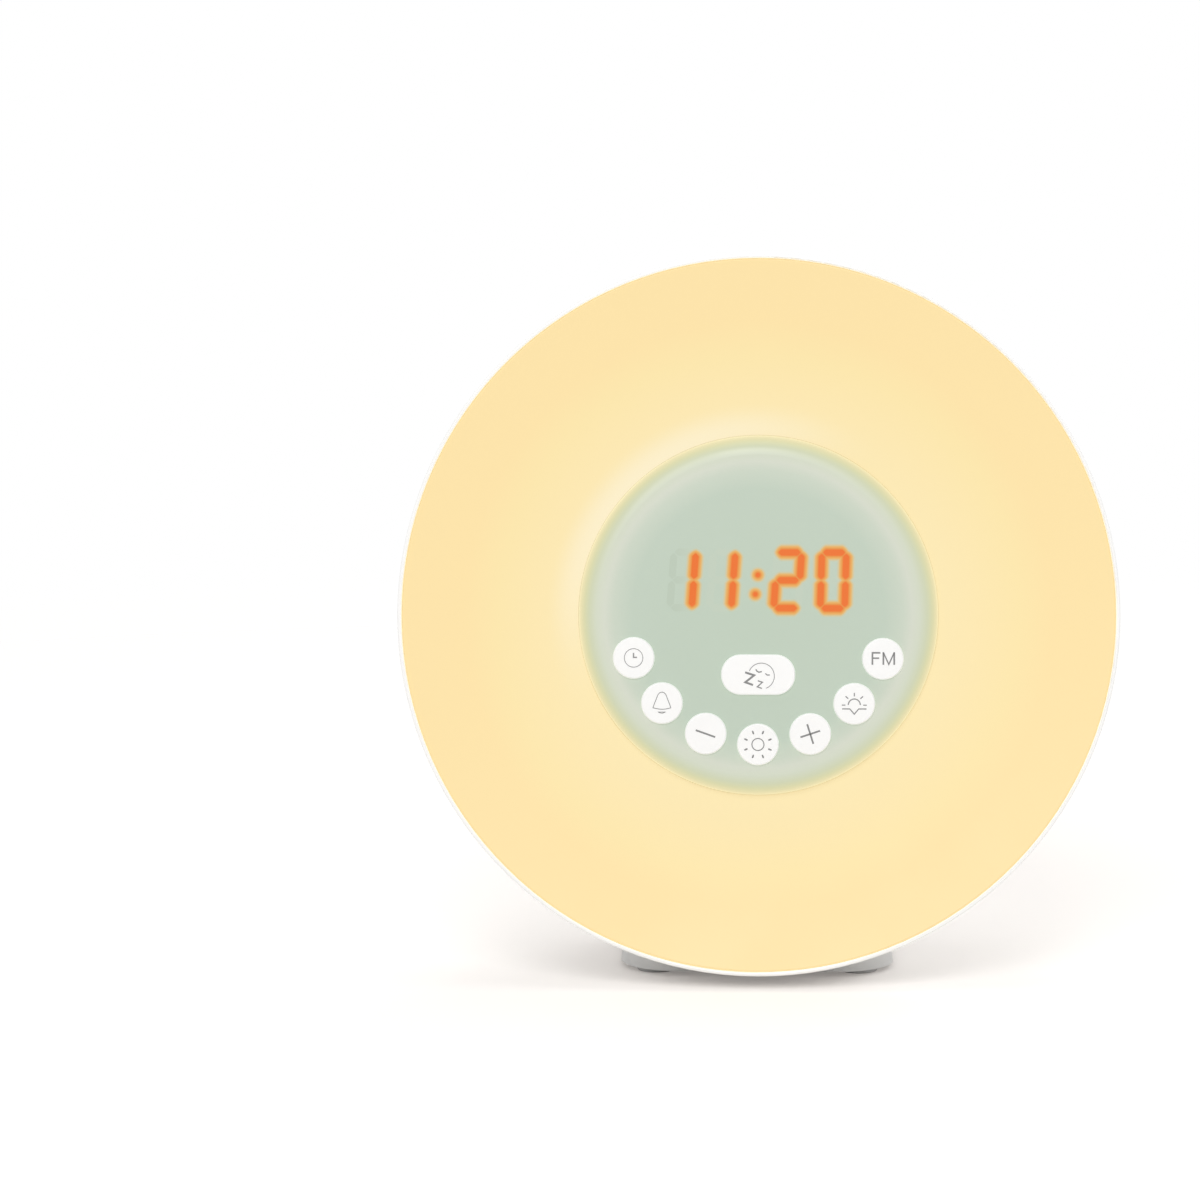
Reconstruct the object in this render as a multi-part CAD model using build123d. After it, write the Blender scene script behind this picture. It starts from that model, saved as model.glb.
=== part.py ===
from build123d import *

from collections import namedtuple
import math
import os

# A sunrise alarm clock: a round, milky light dish with a clock and eight buttons in its middle,
# leaning back on a foot. Millimetres and degrees.
#
# Nearly everything is drawn in the head's own frame: x to the right, y up the leaning face, and z
# straight out of the face, with z = 0 at the front edge of the trim ring. The foot and its pads are
# drawn in the clock's frame, where z = 0 is the table and the face looks towards -y.

# ---------------------------------------------------------------- driving dimensions
face_diameter = 172.0  # outside of the trim ring
face_lean = 8.0  # degrees that the face leans back
body_depth = 71.0  # front edge of the trim ring to the rear face, along the axis
table_gap = 1.5  # between the table and the lowest point of the round body

slip = 0.2  # clearance between mouldings that are pushed together
sink = 0.2  # how far ribs and bosses reach into the wall that they grow from

Screw = namedtuple("Screw", "radius length head_radius head_height")
dish_screw = Screw(1.1, 7.0, 2.2, 1.5)
board_screw = Screw(1.1, 7.0, 2.3, 1.5)
light_screw = Screw(1.1, 6.0, 2.2, 1.4)
case_screw = Screw(1.45, 5.2, 2.9, 1.8)
clamp_screw = Screw(1.0, 3.0, 4.2, 1.2)
foot_screw = Screw(1.45, 25.0, 2.9, 1.8)
thread_slip = 0.02  # clearance between a screw's thread and the hole that it bites into
shank_slip = 0.25  # clearance between a screw and a hole that it passes through
hole_spare = 0.3  # depth of a blind hole beyond the end of its screw

trim_lip = 1.0  # width of the trim ring seen from the front
trim_wall = 3.0  # thickness of the ring behind its lip
trim_depth = 9.0  # front edge to the joint with the rear shell
trim_round = 0.4
seam_round = 0.3  # of both edges where the trim ring meets the rear shell
spigot_wall = 1.4
spigot_depth = 2.0

dish_wall = 2.2  # milky light dish
dish_edge_depth = 0.8  # of the dish's outer edge behind the front of the trim ring
dish_fall = 4.8  # how much deeper the dish is at its middle than at its edge
dish_sag = 0.7  # hollow of the dish below a straight cone
dish_edge_round = 0.3
dish_slip = 0.1  # clearance between the dish's edge and the trim ring's lip
collar_wall = 2.2  # tube that goes back from the middle of the dish
ledge_width = 2.3  # ledge inside the collar, which the panel sits on

panel_radius = 42.9
panel_round = 4.6  # radius of the panel's soft front edge
panel_wall = 2.2
panel_depth = 1.0  # of the panel's flat front behind the front of the trim ring
panel_skirt = 12.0  # height of the panel from its front to the ledge
panel_skirt_wall = 2.0
panel_slip = 0.15  # clearance round the panel in the collar

button_diameter = 9.8
button_ring_radius = 31.7
button_ring_y = 0.9  # of the middle of the buttons' arc over the middle of the face
button_pitch = 23.1  # degrees between neighbouring round buttons
button_stand = 0.8  # height of a button over the panel
button_travel = 0.5
button_slip = 0.1
button_edge = 0.3  # rounding of a button's front edge
flange_width = 1.1  # rim that keeps a button behind the panel
flange_depth = 1.0
snooze_width = 17.5
snooze_height = 9.5
snooze_straight = 0.3  # straight part of the snooze button's rounded ends
snooze_y = -14.2

digit_height = 15.0
digit_y = 8.3
hour_digit_slants = (4.0, 4.0)  # degrees
minute_digit_slants = (3.5, 1.5)  # degrees
segment_width = 1.75
segment_gap = 0.14  # half of the gap between neighbouring bars
hour_digit_width = 5.2  # between the middles of the upright segments
minute_digit_width = 5.8
hour_digit_x = (-18.0, -8.6)
minute_digit_x = (6.95, 17.8)
colon_diameter = 1.45
colon_spots = ((-0.15, 9.55), (-0.75, 4.95))

display_width = 50.3
display_height = 19.0
display_gasket_depth = 0.6
display_gasket_wall = 1.7
display_edge = 0.4  # chamfer

board_depth = 11.0  # of the main board's front behind the front of the trim ring
board_thickness = 1.6
board_inset = 4.4  # of the main board's edge from the panel's
board_screw_spots = ((-24.0, 24.0), (24.0, 24.0), (-17.5, -13.5), (17.5, -13.5))
boss_radius = 2.7

switch_size = 6.0
switch_height = 3.5
plunger_radius = 1.65
plunger_slip = 0.15
plunger_stand = 0.8  # height of a resting plunger over its switch
plunger_in_switch = 1.3
switch_floor = 0.3  # room under a pressed plunger

chip_spot = (0.0, 4.0)
chip_length = 16.0
chip_width = 7.5
chip_height = 2.2
chip_stand = 0.2
chip_legs = 10  # on each side
leg_pitch = 1.6
leg_size = (0.5, 1.2, 1.3)
radio_spot = (-22.0, 0.0)
radio_board = (11.0, 0.8)  # side and thickness
radio_can = (9.0, 2.0)
crystal_spot = (0.0, -9.0)
crystal_radius = 1.5
crystal_length = 8.0
capacitor_spots = ((16.0, 12.0), (22.5, 12.0), (16.0, 4.5))
capacitor_radius = 2.5
capacitor_height = 7.0
connector_spots = {
    "light": (0.0, 30.0),
    "speaker": (-12.0, 22.0),
    "power": (24.0, -2.0),
    "cells": (10.0, -22.0),
}
connector_size = (6.5, 4.5, 5.5)

reflector_depth = 23.0  # of the reflector's floor behind the front of the trim ring
reflector_wall = 1.8
reflector_bore = 38.0
reflector_bend = 6.0
reflector_edge_depth = 5.5

light_board_gap = 1.6  # between the dish's collar and the ring of lights
light_board_width = 12.0
light_board_thickness = 1.6
light_board_margin = 3.0  # floor of the reflector outside the ring of lights
light_screw_angles = (90, 210, 330)
light_boss_radius = 3.0
light_lead_angle = 60
light_lead_hole = 2.6  # radius
white_led_count = 24
white_led_inset = 4.0  # from the outer edge of the board
white_led_size = (2.8, 3.5, 0.9)
colour_led_count = 12
colour_led_inset = 3.5  # from the inner edge of the board
colour_led_size = (5.0, 5.0, 1.6)
dish_screw_angles = (45, 135, 225, 315)

case_wall = 2.4
case_side = 6.0  # straight side of the rear shell behind the trim ring
case_shoulder = 12.0  # radius where the side turns in
neck_radius = 54.0  # where the cone meets the hub
neck_depth = 41.0
neck_round = 14.0
hub_radius = 49.5  # at the rear face
hub_round = 8.0

case_screw_angles = (0, 60, 120, 180, 240, 300)
case_screw_offset = 6.0  # from the edge of the reflector's floor to the case screws
case_screw_web = 2.0  # wall under the screw heads
well_radius = 3.4
well_wall = 1.2

speaker_radius = 20.0
speaker_gap = 1.7  # between the cell bay and the speaker
speaker_flange = 0.8
speaker_flange_width = 2.8
basket_depth = 6.0
basket_top = 14.0  # radius
magnet_radius = 11.0
magnet_height = 8.0
gasket_thickness = 1.0
cone_paper = 0.4
cone_roll = 0.7  # how far the cone's rolled edge bulges out of the basket
cone_height = 3.4
dust_cap = 4.0  # radius
speaker_seat_wall = 1.4
clamp_reach = 3.2  # of the clamping screws outside the speaker's edge
clamp_post_radius = 2.2
grille_hole = 2.0
grille_pitch = 3.6
grille_rings = 4

socket_x = 31.0
socket_y = 3.0
socket_collar = 4.3
socket_width = 9.0
socket_height = 11.0
socket_length = 11.6  # behind the wall
socket_rib_wall = 1.2
socket_rib_length = 8.0
socket_bore = 3.1
socket_bore_depth = 8.7
socket_pin = 1.0
socket_pin_root = 1.3  # radius of the pin's end that is moulded into the socket
socket_pin_root_length = 1.5
socket_recess = 0.3
socket_pin_recess = 1.5

grommet_x = -31.0
grommet_wire = 1.0  # radius of the hole for the aerial wire
grommet_neck = 2.4
grommet_flange = 3.5
grommet_lip = 0.8  # thickness of its flanges

cell_diameter = 10.5
cell_length = 43.7
cell_round = 0.6
cell_nub = 0.8
cell_nub_radius = 1.9
cell_gap = 0.5  # between the cells, and between the cells and the bay
contact_room = 6.5  # for the springs and plates at the cells' ends
plate_thickness = 0.4
plate_side = 8.4
spring_wire = 0.55
spring_radius = 2.5
spring_turns = 3
bay_y = -18.0
bay_wall = 1.6

door_thickness = 2.0
door_margin = 1.0  # how far the door's opening reaches past the bay on each side
door_slip = 0.25
door_rest = 0.1  # between the closed door and the bay's edge
door_pin = 0.6  # radius of its hinge pins
door_pin_slip = 0.1
door_pin_reach = 1.5
tongue_gap = 0.6  # between the door's tongue and the wall of the bay
tongue_size = (10.0, 0.8, 2.2)
thumb_radius = 5.0  # of the finger hollow in the door's upper edge
thumb_depth = 1.2

foot_width = 66.0
foot_front = 6.0  # from the middle of the face, along the table
foot_back = 68.0
foot_corner = 15.0
foot_draft = 10.0
foot_lap = 8.5  # how far the foot rises past the lowest point of the neck
foot_wall = 2.6
foot_tube_wall = 1.6  # round the wells of the foot's screws
foot_boss_radius = 4.0
foot_boss_cap = 2.5  # height of a boss beyond the end of its screw
foot_screw_x = 15.0
foot_screw_y = 46.0  # from the middle of the face, along the table
foot_screw_reach = 5.0  # of the foot's screws past the lowest point of the neck

pad_radius = 4.5
pad_thickness = 2.0
pad_stand = 1.2  # how far a pad stands out of the foot
pad_inset = 8.5
pad_slip = 0.1
pad_round = 0.4

lead_radius = 0.55
lead_spacing = 1.3

# ---------------------------------------------------------------- places that follow from them
rim_radius = face_diameter / 2
case_side_end = trim_depth + case_side
inner_face = body_depth - case_wall

lean = math.radians(face_lean)
face_height = rim_radius * math.cos(lean) + case_side_end * math.sin(lean) + table_gap
front_reach = rim_radius * math.sin(lean)
rear_reach = (
    (hub_radius - hub_round) * math.sin(lean)
    + (body_depth - hub_round) * math.cos(lean)
    + hub_round
)
face_y = (front_reach - rear_reach) / 2  # puts the origin midway between front and back
head = Location((0, face_y, face_height), (90 - face_lean, 0, 0))

step_radius = rim_radius - trim_wall  # bore of the trim ring behind its step
dish_radius = rim_radius - trim_lip - dish_slip
dish_seat = dish_edge_depth + dish_wall
dish_middle_depth = dish_edge_depth + dish_fall
collar_bore = panel_radius + panel_slip
ledge_depth = panel_depth + panel_skirt
collar_foot = collar_bore + collar_wall
ledge_bore = collar_bore - ledge_width

light_board_inner = collar_foot + light_board_gap
light_board_outer = light_board_inner + light_board_width
light_ring_radius = (light_board_inner + light_board_outer) / 2
light_board_front = light_board_thickness - reflector_depth
reflector_floor_radius = light_board_outer + light_board_margin
dish_screw_ring = (collar_foot + ledge_bore) / 2
case_screw_ring = reflector_floor_radius + case_screw_offset
case_screw_seat = reflector_depth + case_screw_web

panel_back = panel_depth + panel_wall
button_radius = button_diameter / 2
flange_front = panel_back + slip
flange_back = flange_front + flange_depth
plunger_top = board_depth - switch_height - plunger_stand
board_back = board_depth + board_thickness
board_radius = panel_radius - board_inset
display_face = panel_back + display_gasket_depth

cell_pitch = cell_diameter + cell_gap
bay_width = cell_length + cell_nub + contact_room
bay_height = 2 * cell_pitch + cell_gap
bay_depth = cell_diameter + 3 * cell_gap
bay_top = body_depth - door_thickness - door_rest  # plane of the bay's edge
bay_floor = bay_top - bay_depth
door_edge = bay_y - bay_height / 2 - door_margin + door_slip
door_axis_y = door_edge + door_thickness / 2
door_axis_depth = body_depth - door_thickness / 2
cell_axis_depth = bay_floor + cell_diameter / 2 + cell_gap
spring_room = bay_width - 2 * plate_thickness - cell_length - cell_nub

speaker_y = bay_y + bay_height / 2 + bay_wall + speaker_gap + speaker_radius
cone_radius = speaker_radius - speaker_flange_width

neck_low = face_height - neck_radius  # lowest point of the neck, over the table
foot_low = pad_stand
foot_top = neck_low + foot_lap
foot_screw_top = neck_low + foot_screw_reach
foot_screw_seat = foot_screw_top - foot_screw.length
foot_middle_y = face_y + (foot_front + foot_back) / 2
foot_length = foot_back - foot_front

button_names = ("clock", "alarm", "minus", "light", "plus", "sunrise", "radio")
middle_button = (len(button_names) - 1) / 2


def button_spot(index):
    """Where a round button sits: on an arc, evenly spaced each side of straight down."""
    angle = math.radians((index - middle_button) * button_pitch)
    across, down = button_ring_radius * math.sin(angle), button_ring_radius * math.cos(angle)
    return across, button_ring_y - down


button_spots = {name: button_spot(i) for i, name in enumerate(button_names)}
button_spots["snooze"] = (0.0, snooze_y)


# ---------------------------------------------------------------- drawing helpers
def outline(*corners):
    """A closed face through corners (x, y) or (x, y, radius). A radius rounds that corner."""
    count = len(corners)
    arcs, starts, ends = [], [], []
    for i, corner in enumerate(corners):
        here = Vector(*corner[:2])
        back = (Vector(*corners[i - 1][:2]) - here).normalized()
        ahead = (Vector(*corners[(i + 1) % count][:2]) - here).normalized()
        radius = corner[2] if len(corner) > 2 else 0
        if radius == 0:
            starts.append(here)
            ends.append(here)
            continue
        half = math.radians(back.get_angle(ahead)) / 2
        start = here + back * (radius / math.tan(half))
        end = here + ahead * (radius / math.tan(half))
        centre = here + (back + ahead).normalized() * (radius / math.sin(half))
        arcs.append(ThreePointArc(start, centre + (here - centre).normalized() * radius, end))
        starts.append(start)
        ends.append(end)
    lines = [
        Line(ends[i], starts[(i + 1) % count])
        for i in range(count)
        if (starts[(i + 1) % count] - ends[i]).length > 1e-6
    ]
    return Face(Wire(arcs + lines))


def inset(path, wall):
    """An open line of corners moved to its right by a wall, with its roundings changed to suit."""
    moved = []
    for i, corner in enumerate(path):
        here = Vector(*corner[:2])
        runs = []
        if i > 0:
            runs.append((here - Vector(*path[i - 1][:2])).normalized())
        if i < len(path) - 1:
            runs.append((Vector(*path[i + 1][:2]) - here).normalized())
        sides = [Vector(run.Y, -run.X) for run in runs]
        middle = sum(sides, Vector()).normalized()
        point = here + middle * (wall / middle.dot(sides[0]))
        if len(corner) == 2:
            moved.append((point.X, point.Y))
            continue
        turns_right = runs[0].cross(runs[-1]).Z < 0
        radius = corner[2] - wall if turns_right else corner[2] + wall
        moved.append((point.X, point.Y, radius))
    return moved


def spin(face):
    """The solid that a profile of (radius, z) sweeps round the head's axis."""
    return revolve(Plane.XZ * face, Axis.Z)


def rod(x, y, radius, z_from, z_to):
    """A round bar along z."""
    low, high = sorted((z_from, z_to))
    return Pos(x, y, (low + high) / 2) * Cylinder(radius, high - low)


def block(x, y, width, height, z_from, z_to):
    """A box along z, centred at x, y."""
    low, high = sorted((z_from, z_to))
    return Pos(x, y, (low + high) / 2) * Box(width, height, high - low)


def polar(radius, angle):
    return radius * math.cos(math.radians(angle)), radius * math.sin(math.radians(angle))


def pan_screw(screw):
    """A cross-slotted screw with its seat at z = 0, its shank up +z and its head below."""
    top = -screw.head_height
    cap = rod(0, 0, screw.head_radius, top, 0)
    cap = fillet(cap.edges().group_by(Axis.Z)[0], screw.head_height * 0.45)
    length, width = screw.head_radius * 1.1, screw.head_radius * 0.28
    cap -= block(0, 0, length, width, top, top * 0.4)
    cap -= block(0, 0, width, length, top, top * 0.4)
    shank = rod(0, 0, screw.radius, 0, screw.length)
    return cap + chamfer(shank.edges().group_by(Axis.Z)[-1], screw.radius * 0.5)


def thread_hole(x, y, screw, z_from, z_to):
    return rod(x, y, screw.radius + thread_slip, z_from, z_to)


def shank_hole(x, y, screw, z_from, z_to):
    return rod(x, y, screw.radius + shank_slip, z_from, z_to)


def ring_spots(radius, angles):
    return [polar(radius, angle) for angle in angles]


def write(name, shapes, place=head):
    """Writes one node, as a group of separate solids, at its place in the clock."""
    shapes = shapes if isinstance(shapes, (list, tuple)) else [shapes]
    solids = [solid for shape in shapes for solid in (place * shape).solids()]
    export_step(Compound(children=solids), f"parts/{name}.step")


# ---------------------------------------------------------------- front mouldings
def make_trim_ring():
    """White bezel. Its step carries the dish, and its spigot plugs into the rear shell."""
    spigot_radius = step_radius + spigot_wall
    return spin(
        outline(
            (rim_radius, 0, trim_round),
            (rim_radius, -trim_depth, seam_round),
            (spigot_radius, -trim_depth),
            (spigot_radius, -trim_depth - spigot_depth),
            (step_radius, -trim_depth - spigot_depth),
            (step_radius, -dish_seat),
            (rim_radius - trim_lip, -dish_seat),
            (rim_radius - trim_lip, 0, trim_round),
        )
    )


def make_diffuser():
    """Milky light dish with the collar that it is screwed down by."""
    middle_radius = (dish_radius + collar_bore) / 2
    middle_depth = (dish_edge_depth + dish_middle_depth) / 2 + dish_sag
    edge = Vector(dish_radius, -dish_edge_depth)
    edge_back = Vector(dish_radius, -dish_seat)
    land = Vector(step_radius - slip, -dish_seat)
    middle = Vector(collar_bore, -dish_middle_depth)
    collar = [
        middle,
        Vector(collar_bore, -ledge_depth),
        Vector(ledge_bore, -ledge_depth),
        Vector(ledge_bore, -reflector_depth),
        Vector(collar_foot, -reflector_depth),
        Vector(collar_foot, -dish_middle_depth - dish_wall),
    ]
    front = ThreePointArc(edge, Vector(middle_radius, -middle_depth), middle)
    under = ThreePointArc(collar[-1], Vector(middle_radius, -middle_depth - dish_wall), land)
    rim = [Line(land, edge_back), Line(edge_back, edge)]
    dish = spin(Face(Wire([front, under] + rim + Polyline(*collar).edges())))
    circles = dish.edges().filter_by(GeomType.CIRCLE)
    outermost = circles.filter_by(lambda circle: abs(circle.radius - dish_radius) < 1e-3)
    dish = fillet(outermost.sort_by(Axis.Z)[-1], dish_edge_round)
    hole_end = dish_screw.length - reflector_wall - reflector_depth + hole_spare
    for x, y in ring_spots(dish_screw_ring, dish_screw_angles):
        dish -= thread_hole(x, y, dish_screw, -reflector_depth, hole_end)
    return dish


def make_dish_screws():
    """Four screws that hold the reflector against the dish's collar."""
    seat = -reflector_depth - reflector_wall
    spots = ring_spots(dish_screw_ring, dish_screw_angles)
    return [Pos(x, y, seat) * pan_screw(dish_screw) for x, y in spots]


def segment_face(length):
    """One display bar, pointed at both ends, lying along x."""
    half, side = length / 2, segment_width / 2
    corners = [(-half, 0), (side - half, side), (half - side, side)]
    corners += [(-x, -y) for x, y in corners]
    return outline(*corners)


def digit_faces(centre_x, width, slant):
    """The seven bars of a digit, a to g, as faces in the plane of the panel."""
    rise = digit_height - segment_width
    across = segment_face(width - 2 * segment_gap)
    upright = segment_face(rise / 2 - 2 * segment_gap)
    upright = Rot(0, 0, 90 - slant) * upright
    shift = math.tan(math.radians(slant))
    spots = {
        "a": (0, rise / 2),
        "b": (width / 2, rise / 4),
        "c": (width / 2, -rise / 4),
        "d": (0, -rise / 2),
        "e": (-width / 2, -rise / 4),
        "f": (-width / 2, rise / 4),
        "g": (0, 0),
    }
    return {
        bar: Pos(centre_x + x + y * shift, digit_y + y, 0) * (across if bar in "adg" else upright)
        for bar, (x, y) in spots.items()
    }


bars_of = {"0": "abcdef", "1": "bc", "2": "abged"}
shown_time = "1120"


def make_segments():
    """Display bars and colon, moulded through the panel: those that are lit, and the rest."""
    hours, minutes = zip(hour_digit_x, hour_digit_slants), zip(minute_digit_x, minute_digit_slants)
    places = [(x, hour_digit_width, slant) for x, slant in hours]
    places += [(x, minute_digit_width, slant) for x, slant in minutes]
    lit, unlit = [], []
    for figure, place in zip(shown_time, places):
        for bar, face in digit_faces(*place).items():
            (lit if bar in bars_of[figure] else unlit).append(face)
    lit += [Pos(x, y, 0) * Face(Wire.make_circle(colon_diameter / 2)) for x, y in colon_spots]
    depth = display_face - panel_depth
    return [
        [extrude(Pos(0, 0, -display_face) * face, amount=depth, dir=(0, 0, 1)) for face in faces]
        for faces in (lit, unlit)
    ]


def button_shape(name, grow, z_from, z_to):
    """A button's outline, grown on every side, between two depths."""
    x, y = button_spots[name]
    if name != "snooze":
        return rod(x, y, button_radius + grow, z_from, z_to)
    low, high = sorted((z_from, z_to))
    corner = (snooze_height - snooze_straight) / 2 + grow
    face = RectangleRounded(snooze_width + 2 * grow, snooze_height + 2 * grow, corner)
    return extrude(Pos(x, y, low) * face, amount=high - low, dir=(0, 0, 1))


def make_panel(segments):
    """Clock panel: a cup with a soft edge, pierced for the buttons and the display bars."""
    skirt_bore = panel_radius - panel_skirt_wall
    panel = spin(
        outline(
            (0, -panel_depth),
            (panel_radius, -panel_depth, panel_round),
            (panel_radius, -ledge_depth),
            (skirt_bore, -ledge_depth),
            (skirt_bore, -panel_back, panel_round - panel_skirt_wall),
            (0, -panel_back),
        )
    )
    hole_end = board_screw.length - board_back + hole_spare
    for x, y in board_screw_spots:
        panel += rod(x, y, boss_radius, -panel_back + sink, -board_depth)
        panel -= thread_hole(x, y, board_screw, -board_depth, hole_end)
    for name in button_spots:
        panel -= button_shape(name, button_slip, -panel_back, 0)
    for bar in segments:
        panel -= bar
    return panel


# ---------------------------------------------------------------- buttons and their switches
def make_button(name):
    """A flanged cap that the panel keeps in, with a stem down to its switch."""
    x, y = button_spots[name]
    top = button_stand - panel_depth
    cap = button_shape(name, 0, -flange_back, top)
    cap = fillet(cap.faces().sort_by(Axis.Z)[-1].edges(), button_edge)
    cap += button_shape(name, flange_width, -flange_back, -flange_front)
    cap += rod(x, y, plunger_radius, -plunger_top, -flange_front)
    return cap


def make_plunger(name):
    """The moving top of a switch, which touches the cap's stem."""
    x, y = button_spots[name]
    bottom = -plunger_top - plunger_stand - plunger_in_switch
    return rod(x, y, plunger_radius, bottom, -plunger_top)


def make_switches():
    """Push switches on the main board, one under each button."""
    floor = plunger_stand + plunger_in_switch + button_travel + switch_floor
    bodies = []
    for x, y in button_spots.values():
        body = block(x, y, switch_size, switch_size, -board_depth, switch_height - board_depth)
        body = fillet(body.edges().filter_by(Axis.Z), 0.4)
        body -= rod(x, y, plunger_radius + plunger_slip, -plunger_top - floor, -plunger_top)
        bodies.append(body)
    return bodies


# ---------------------------------------------------------------- display and main board
def make_display_module():
    """Housing of the four-figure display, on the main board."""
    module = block(0, digit_y, display_width, display_height, -board_depth, -display_face)
    return chamfer(module.faces().sort_by(Axis.Z)[-1].edges(), display_edge)


def make_display_gasket():
    """Black foam frame that keeps the display's light from spreading behind the panel."""
    wide = block(0, digit_y, display_width, display_height, -display_face, -panel_back)
    width = display_width - 2 * display_gasket_wall
    height = display_height - 2 * display_gasket_wall
    return wide - block(0, digit_y, width, height, -display_face, -panel_back)


def make_main_board():
    board = rod(0, 0, board_radius, -board_back, -board_depth)
    for x, y in board_screw_spots:
        board -= shank_hole(x, y, board_screw, -board_back, -board_depth)
    return board


def make_board_screws():
    return [Pos(x, y, -board_back) * pan_screw(board_screw) for x, y in board_screw_spots]


def on_board(x, y, width, height, depth, stand=0):
    """A block on the back of the main board."""
    return block(x, y, width, height, -board_back - stand - depth, -board_back - stand)


def make_controller_chip():
    """The chip that keeps time and drives the lights, with its rows of legs."""
    x, y = chip_spot
    pieces = [on_board(x, y, chip_length, chip_width, chip_height, chip_stand)]
    leg_y = (chip_width + leg_size[1]) / 2
    for i in range(chip_legs):
        leg_x = x + (i - (chip_legs - 1) / 2) * leg_pitch
        pieces += [on_board(leg_x, y + side * leg_y, *leg_size) for side in (-1, 1)]
    return pieces


def make_radio_module():
    """Radio receiver: a small board with a shield can."""
    x, y = radio_spot
    board_side, board_height = radio_board
    can_side, can_height = radio_can
    board = on_board(x, y, board_side, board_side, board_height)
    can = on_board(x, y, can_side, can_side, can_height, board_height)
    return [board, fillet(can.edges().group_by(Axis.Z)[0], 0.4)]


def make_clock_crystal():
    """Timekeeping crystal in its small tin can, lying on the board."""
    x, y = crystal_spot
    can = Rot(0, 90, 0) * Cylinder(crystal_radius, crystal_length)
    return Pos(x, y, -board_back - crystal_radius) * can


def make_capacitors():
    cans = []
    for x, y in capacitor_spots:
        can = rod(x, y, capacitor_radius, -board_back - capacitor_height, -board_back)
        cans.append(fillet(can.edges().group_by(Axis.Z)[0], 0.5))
    return cans


def make_connectors():
    """Four plug-in sockets on the back of the main board, one for each lead."""
    return [on_board(x, y, *connector_size) for x, y in connector_spots.values()]


# ---------------------------------------------------------------- light chamber
def reflector_path():
    """Corners of the reflector's bright side, from its edge to its bore."""
    return [
        (step_radius, -reflector_edge_depth),
        (reflector_floor_radius, -reflector_depth, reflector_bend),
        (reflector_bore, -reflector_depth),
    ]


def behind_reflector(distance):
    """Everything that lies more than a distance behind the reflector's bright side."""
    back = inset(reflector_path(), -distance)
    return spin(outline(*back, (0, back[-1][1]), (0, -body_depth), (back[0][0], -body_depth)))


def make_reflector():
    """White tray behind the dish. It carries the ring of lights and takes the case screws."""
    path = reflector_path()
    tray = spin(outline(*path, *reversed(inset(path, -reflector_wall))))
    tray &= rod(0, 0, step_radius - 2 * slip, -body_depth, 0)
    back = -reflector_depth - reflector_wall
    case_hole_end = case_screw.length - case_screw_seat + hole_spare
    for x, y in ring_spots(case_screw_ring, case_screw_angles):
        boss = rod(x, y, well_radius, -reflector_depth, -reflector_edge_depth)
        tray += boss & behind_reflector(reflector_wall)
        tray -= thread_hole(x, y, case_screw, -reflector_depth, case_hole_end)
    for x, y in ring_spots(dish_screw_ring, dish_screw_angles):
        tray -= shank_hole(x, y, dish_screw, back, 0)
    light_hole_end = light_board_front - light_screw.length - hole_spare
    for x, y in ring_spots(light_ring_radius, light_screw_angles):
        tray += rod(x, y, light_boss_radius, light_hole_end, -reflector_depth)
        tray -= thread_hole(x, y, light_screw, light_hole_end, 0)
    lead_spot = polar(light_ring_radius, light_lead_angle)
    return tray - rod(*lead_spot, light_lead_hole, back, 0)


def make_light_board():
    ring = rod(0, 0, light_board_outer, -reflector_depth, light_board_front)
    ring -= rod(0, 0, light_board_inner, -reflector_depth, light_board_front)
    for x, y in ring_spots(light_ring_radius, light_screw_angles):
        ring -= shank_hole(x, y, light_screw, -reflector_depth, light_board_front)
    return ring


def make_light_screws():
    screw = Rot(180, 0, 0) * pan_screw(light_screw)
    spots = ring_spots(light_ring_radius, light_screw_angles)
    return [Pos(x, y, light_board_front) * screw for x, y in spots]


def led(width, length, height):
    """A light package with a shallow round cup of phosphor."""
    body = Pos(0, 0, height / 2) * Box(width, length, height)
    return body - Pos(0, 0, height) * Cylinder(min(width, length) * 0.38, height * 0.3)


def ring_of(shape, count, radius):
    """Copies of a shape round the head's axis, midway between the ring's even angles."""
    step = 360 / count
    return [
        Rot(0, 0, (i + 0.5) * step) * Pos(radius, 0, light_board_front) * shape
        for i in range(count)
    ]


def make_white_leds():
    return ring_of(led(*white_led_size), white_led_count, light_board_outer - white_led_inset)


def make_colour_leds():
    return ring_of(led(*colour_led_size), colour_led_count, light_board_inner + colour_led_inset)


# ---------------------------------------------------------------- rear shell
def case_path():
    """Corners of the rear shell's outside, from the trim ring to the middle of the rear face."""
    return [
        (rim_radius, -trim_depth),
        (rim_radius, -case_side_end, case_shoulder),
        (neck_radius, -neck_depth, neck_round),
        (hub_radius, -body_depth, hub_round),
        (0, -body_depth),
    ]


def case_outside():
    """The rear shell as a solid lump."""
    edge, *corners = case_path()
    return spin(outline((0, -trim_depth), (*edge, seam_round), *corners))


def case_inside():
    """The room inside the rear shell, as a solid lump."""
    return spin(outline((0, -trim_depth), *inset(case_path(), case_wall)))


def clamp_spots():
    """Where the speaker's three clamping screws are."""
    spots = ring_spots(speaker_radius + clamp_reach, (90, 210, 330))
    return [(x, y + speaker_y) for x, y in spots]


def grille_holes():
    """Rings of holes behind the speaker."""
    holes = [(0.0, speaker_y)]
    for ring in range(1, grille_rings + 1):
        for i in range(6 * ring):
            x, y = polar(ring * grille_pitch, i * 60 / ring)
            holes.append((x, y + speaker_y))
    return holes


def bay_block(grow, z_from, z_to):
    """The cell bay's outline, grown on every side, between two depths."""
    return block(0, bay_y, bay_width + 2 * grow, bay_height + 2 * grow, z_from, z_to)


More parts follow.
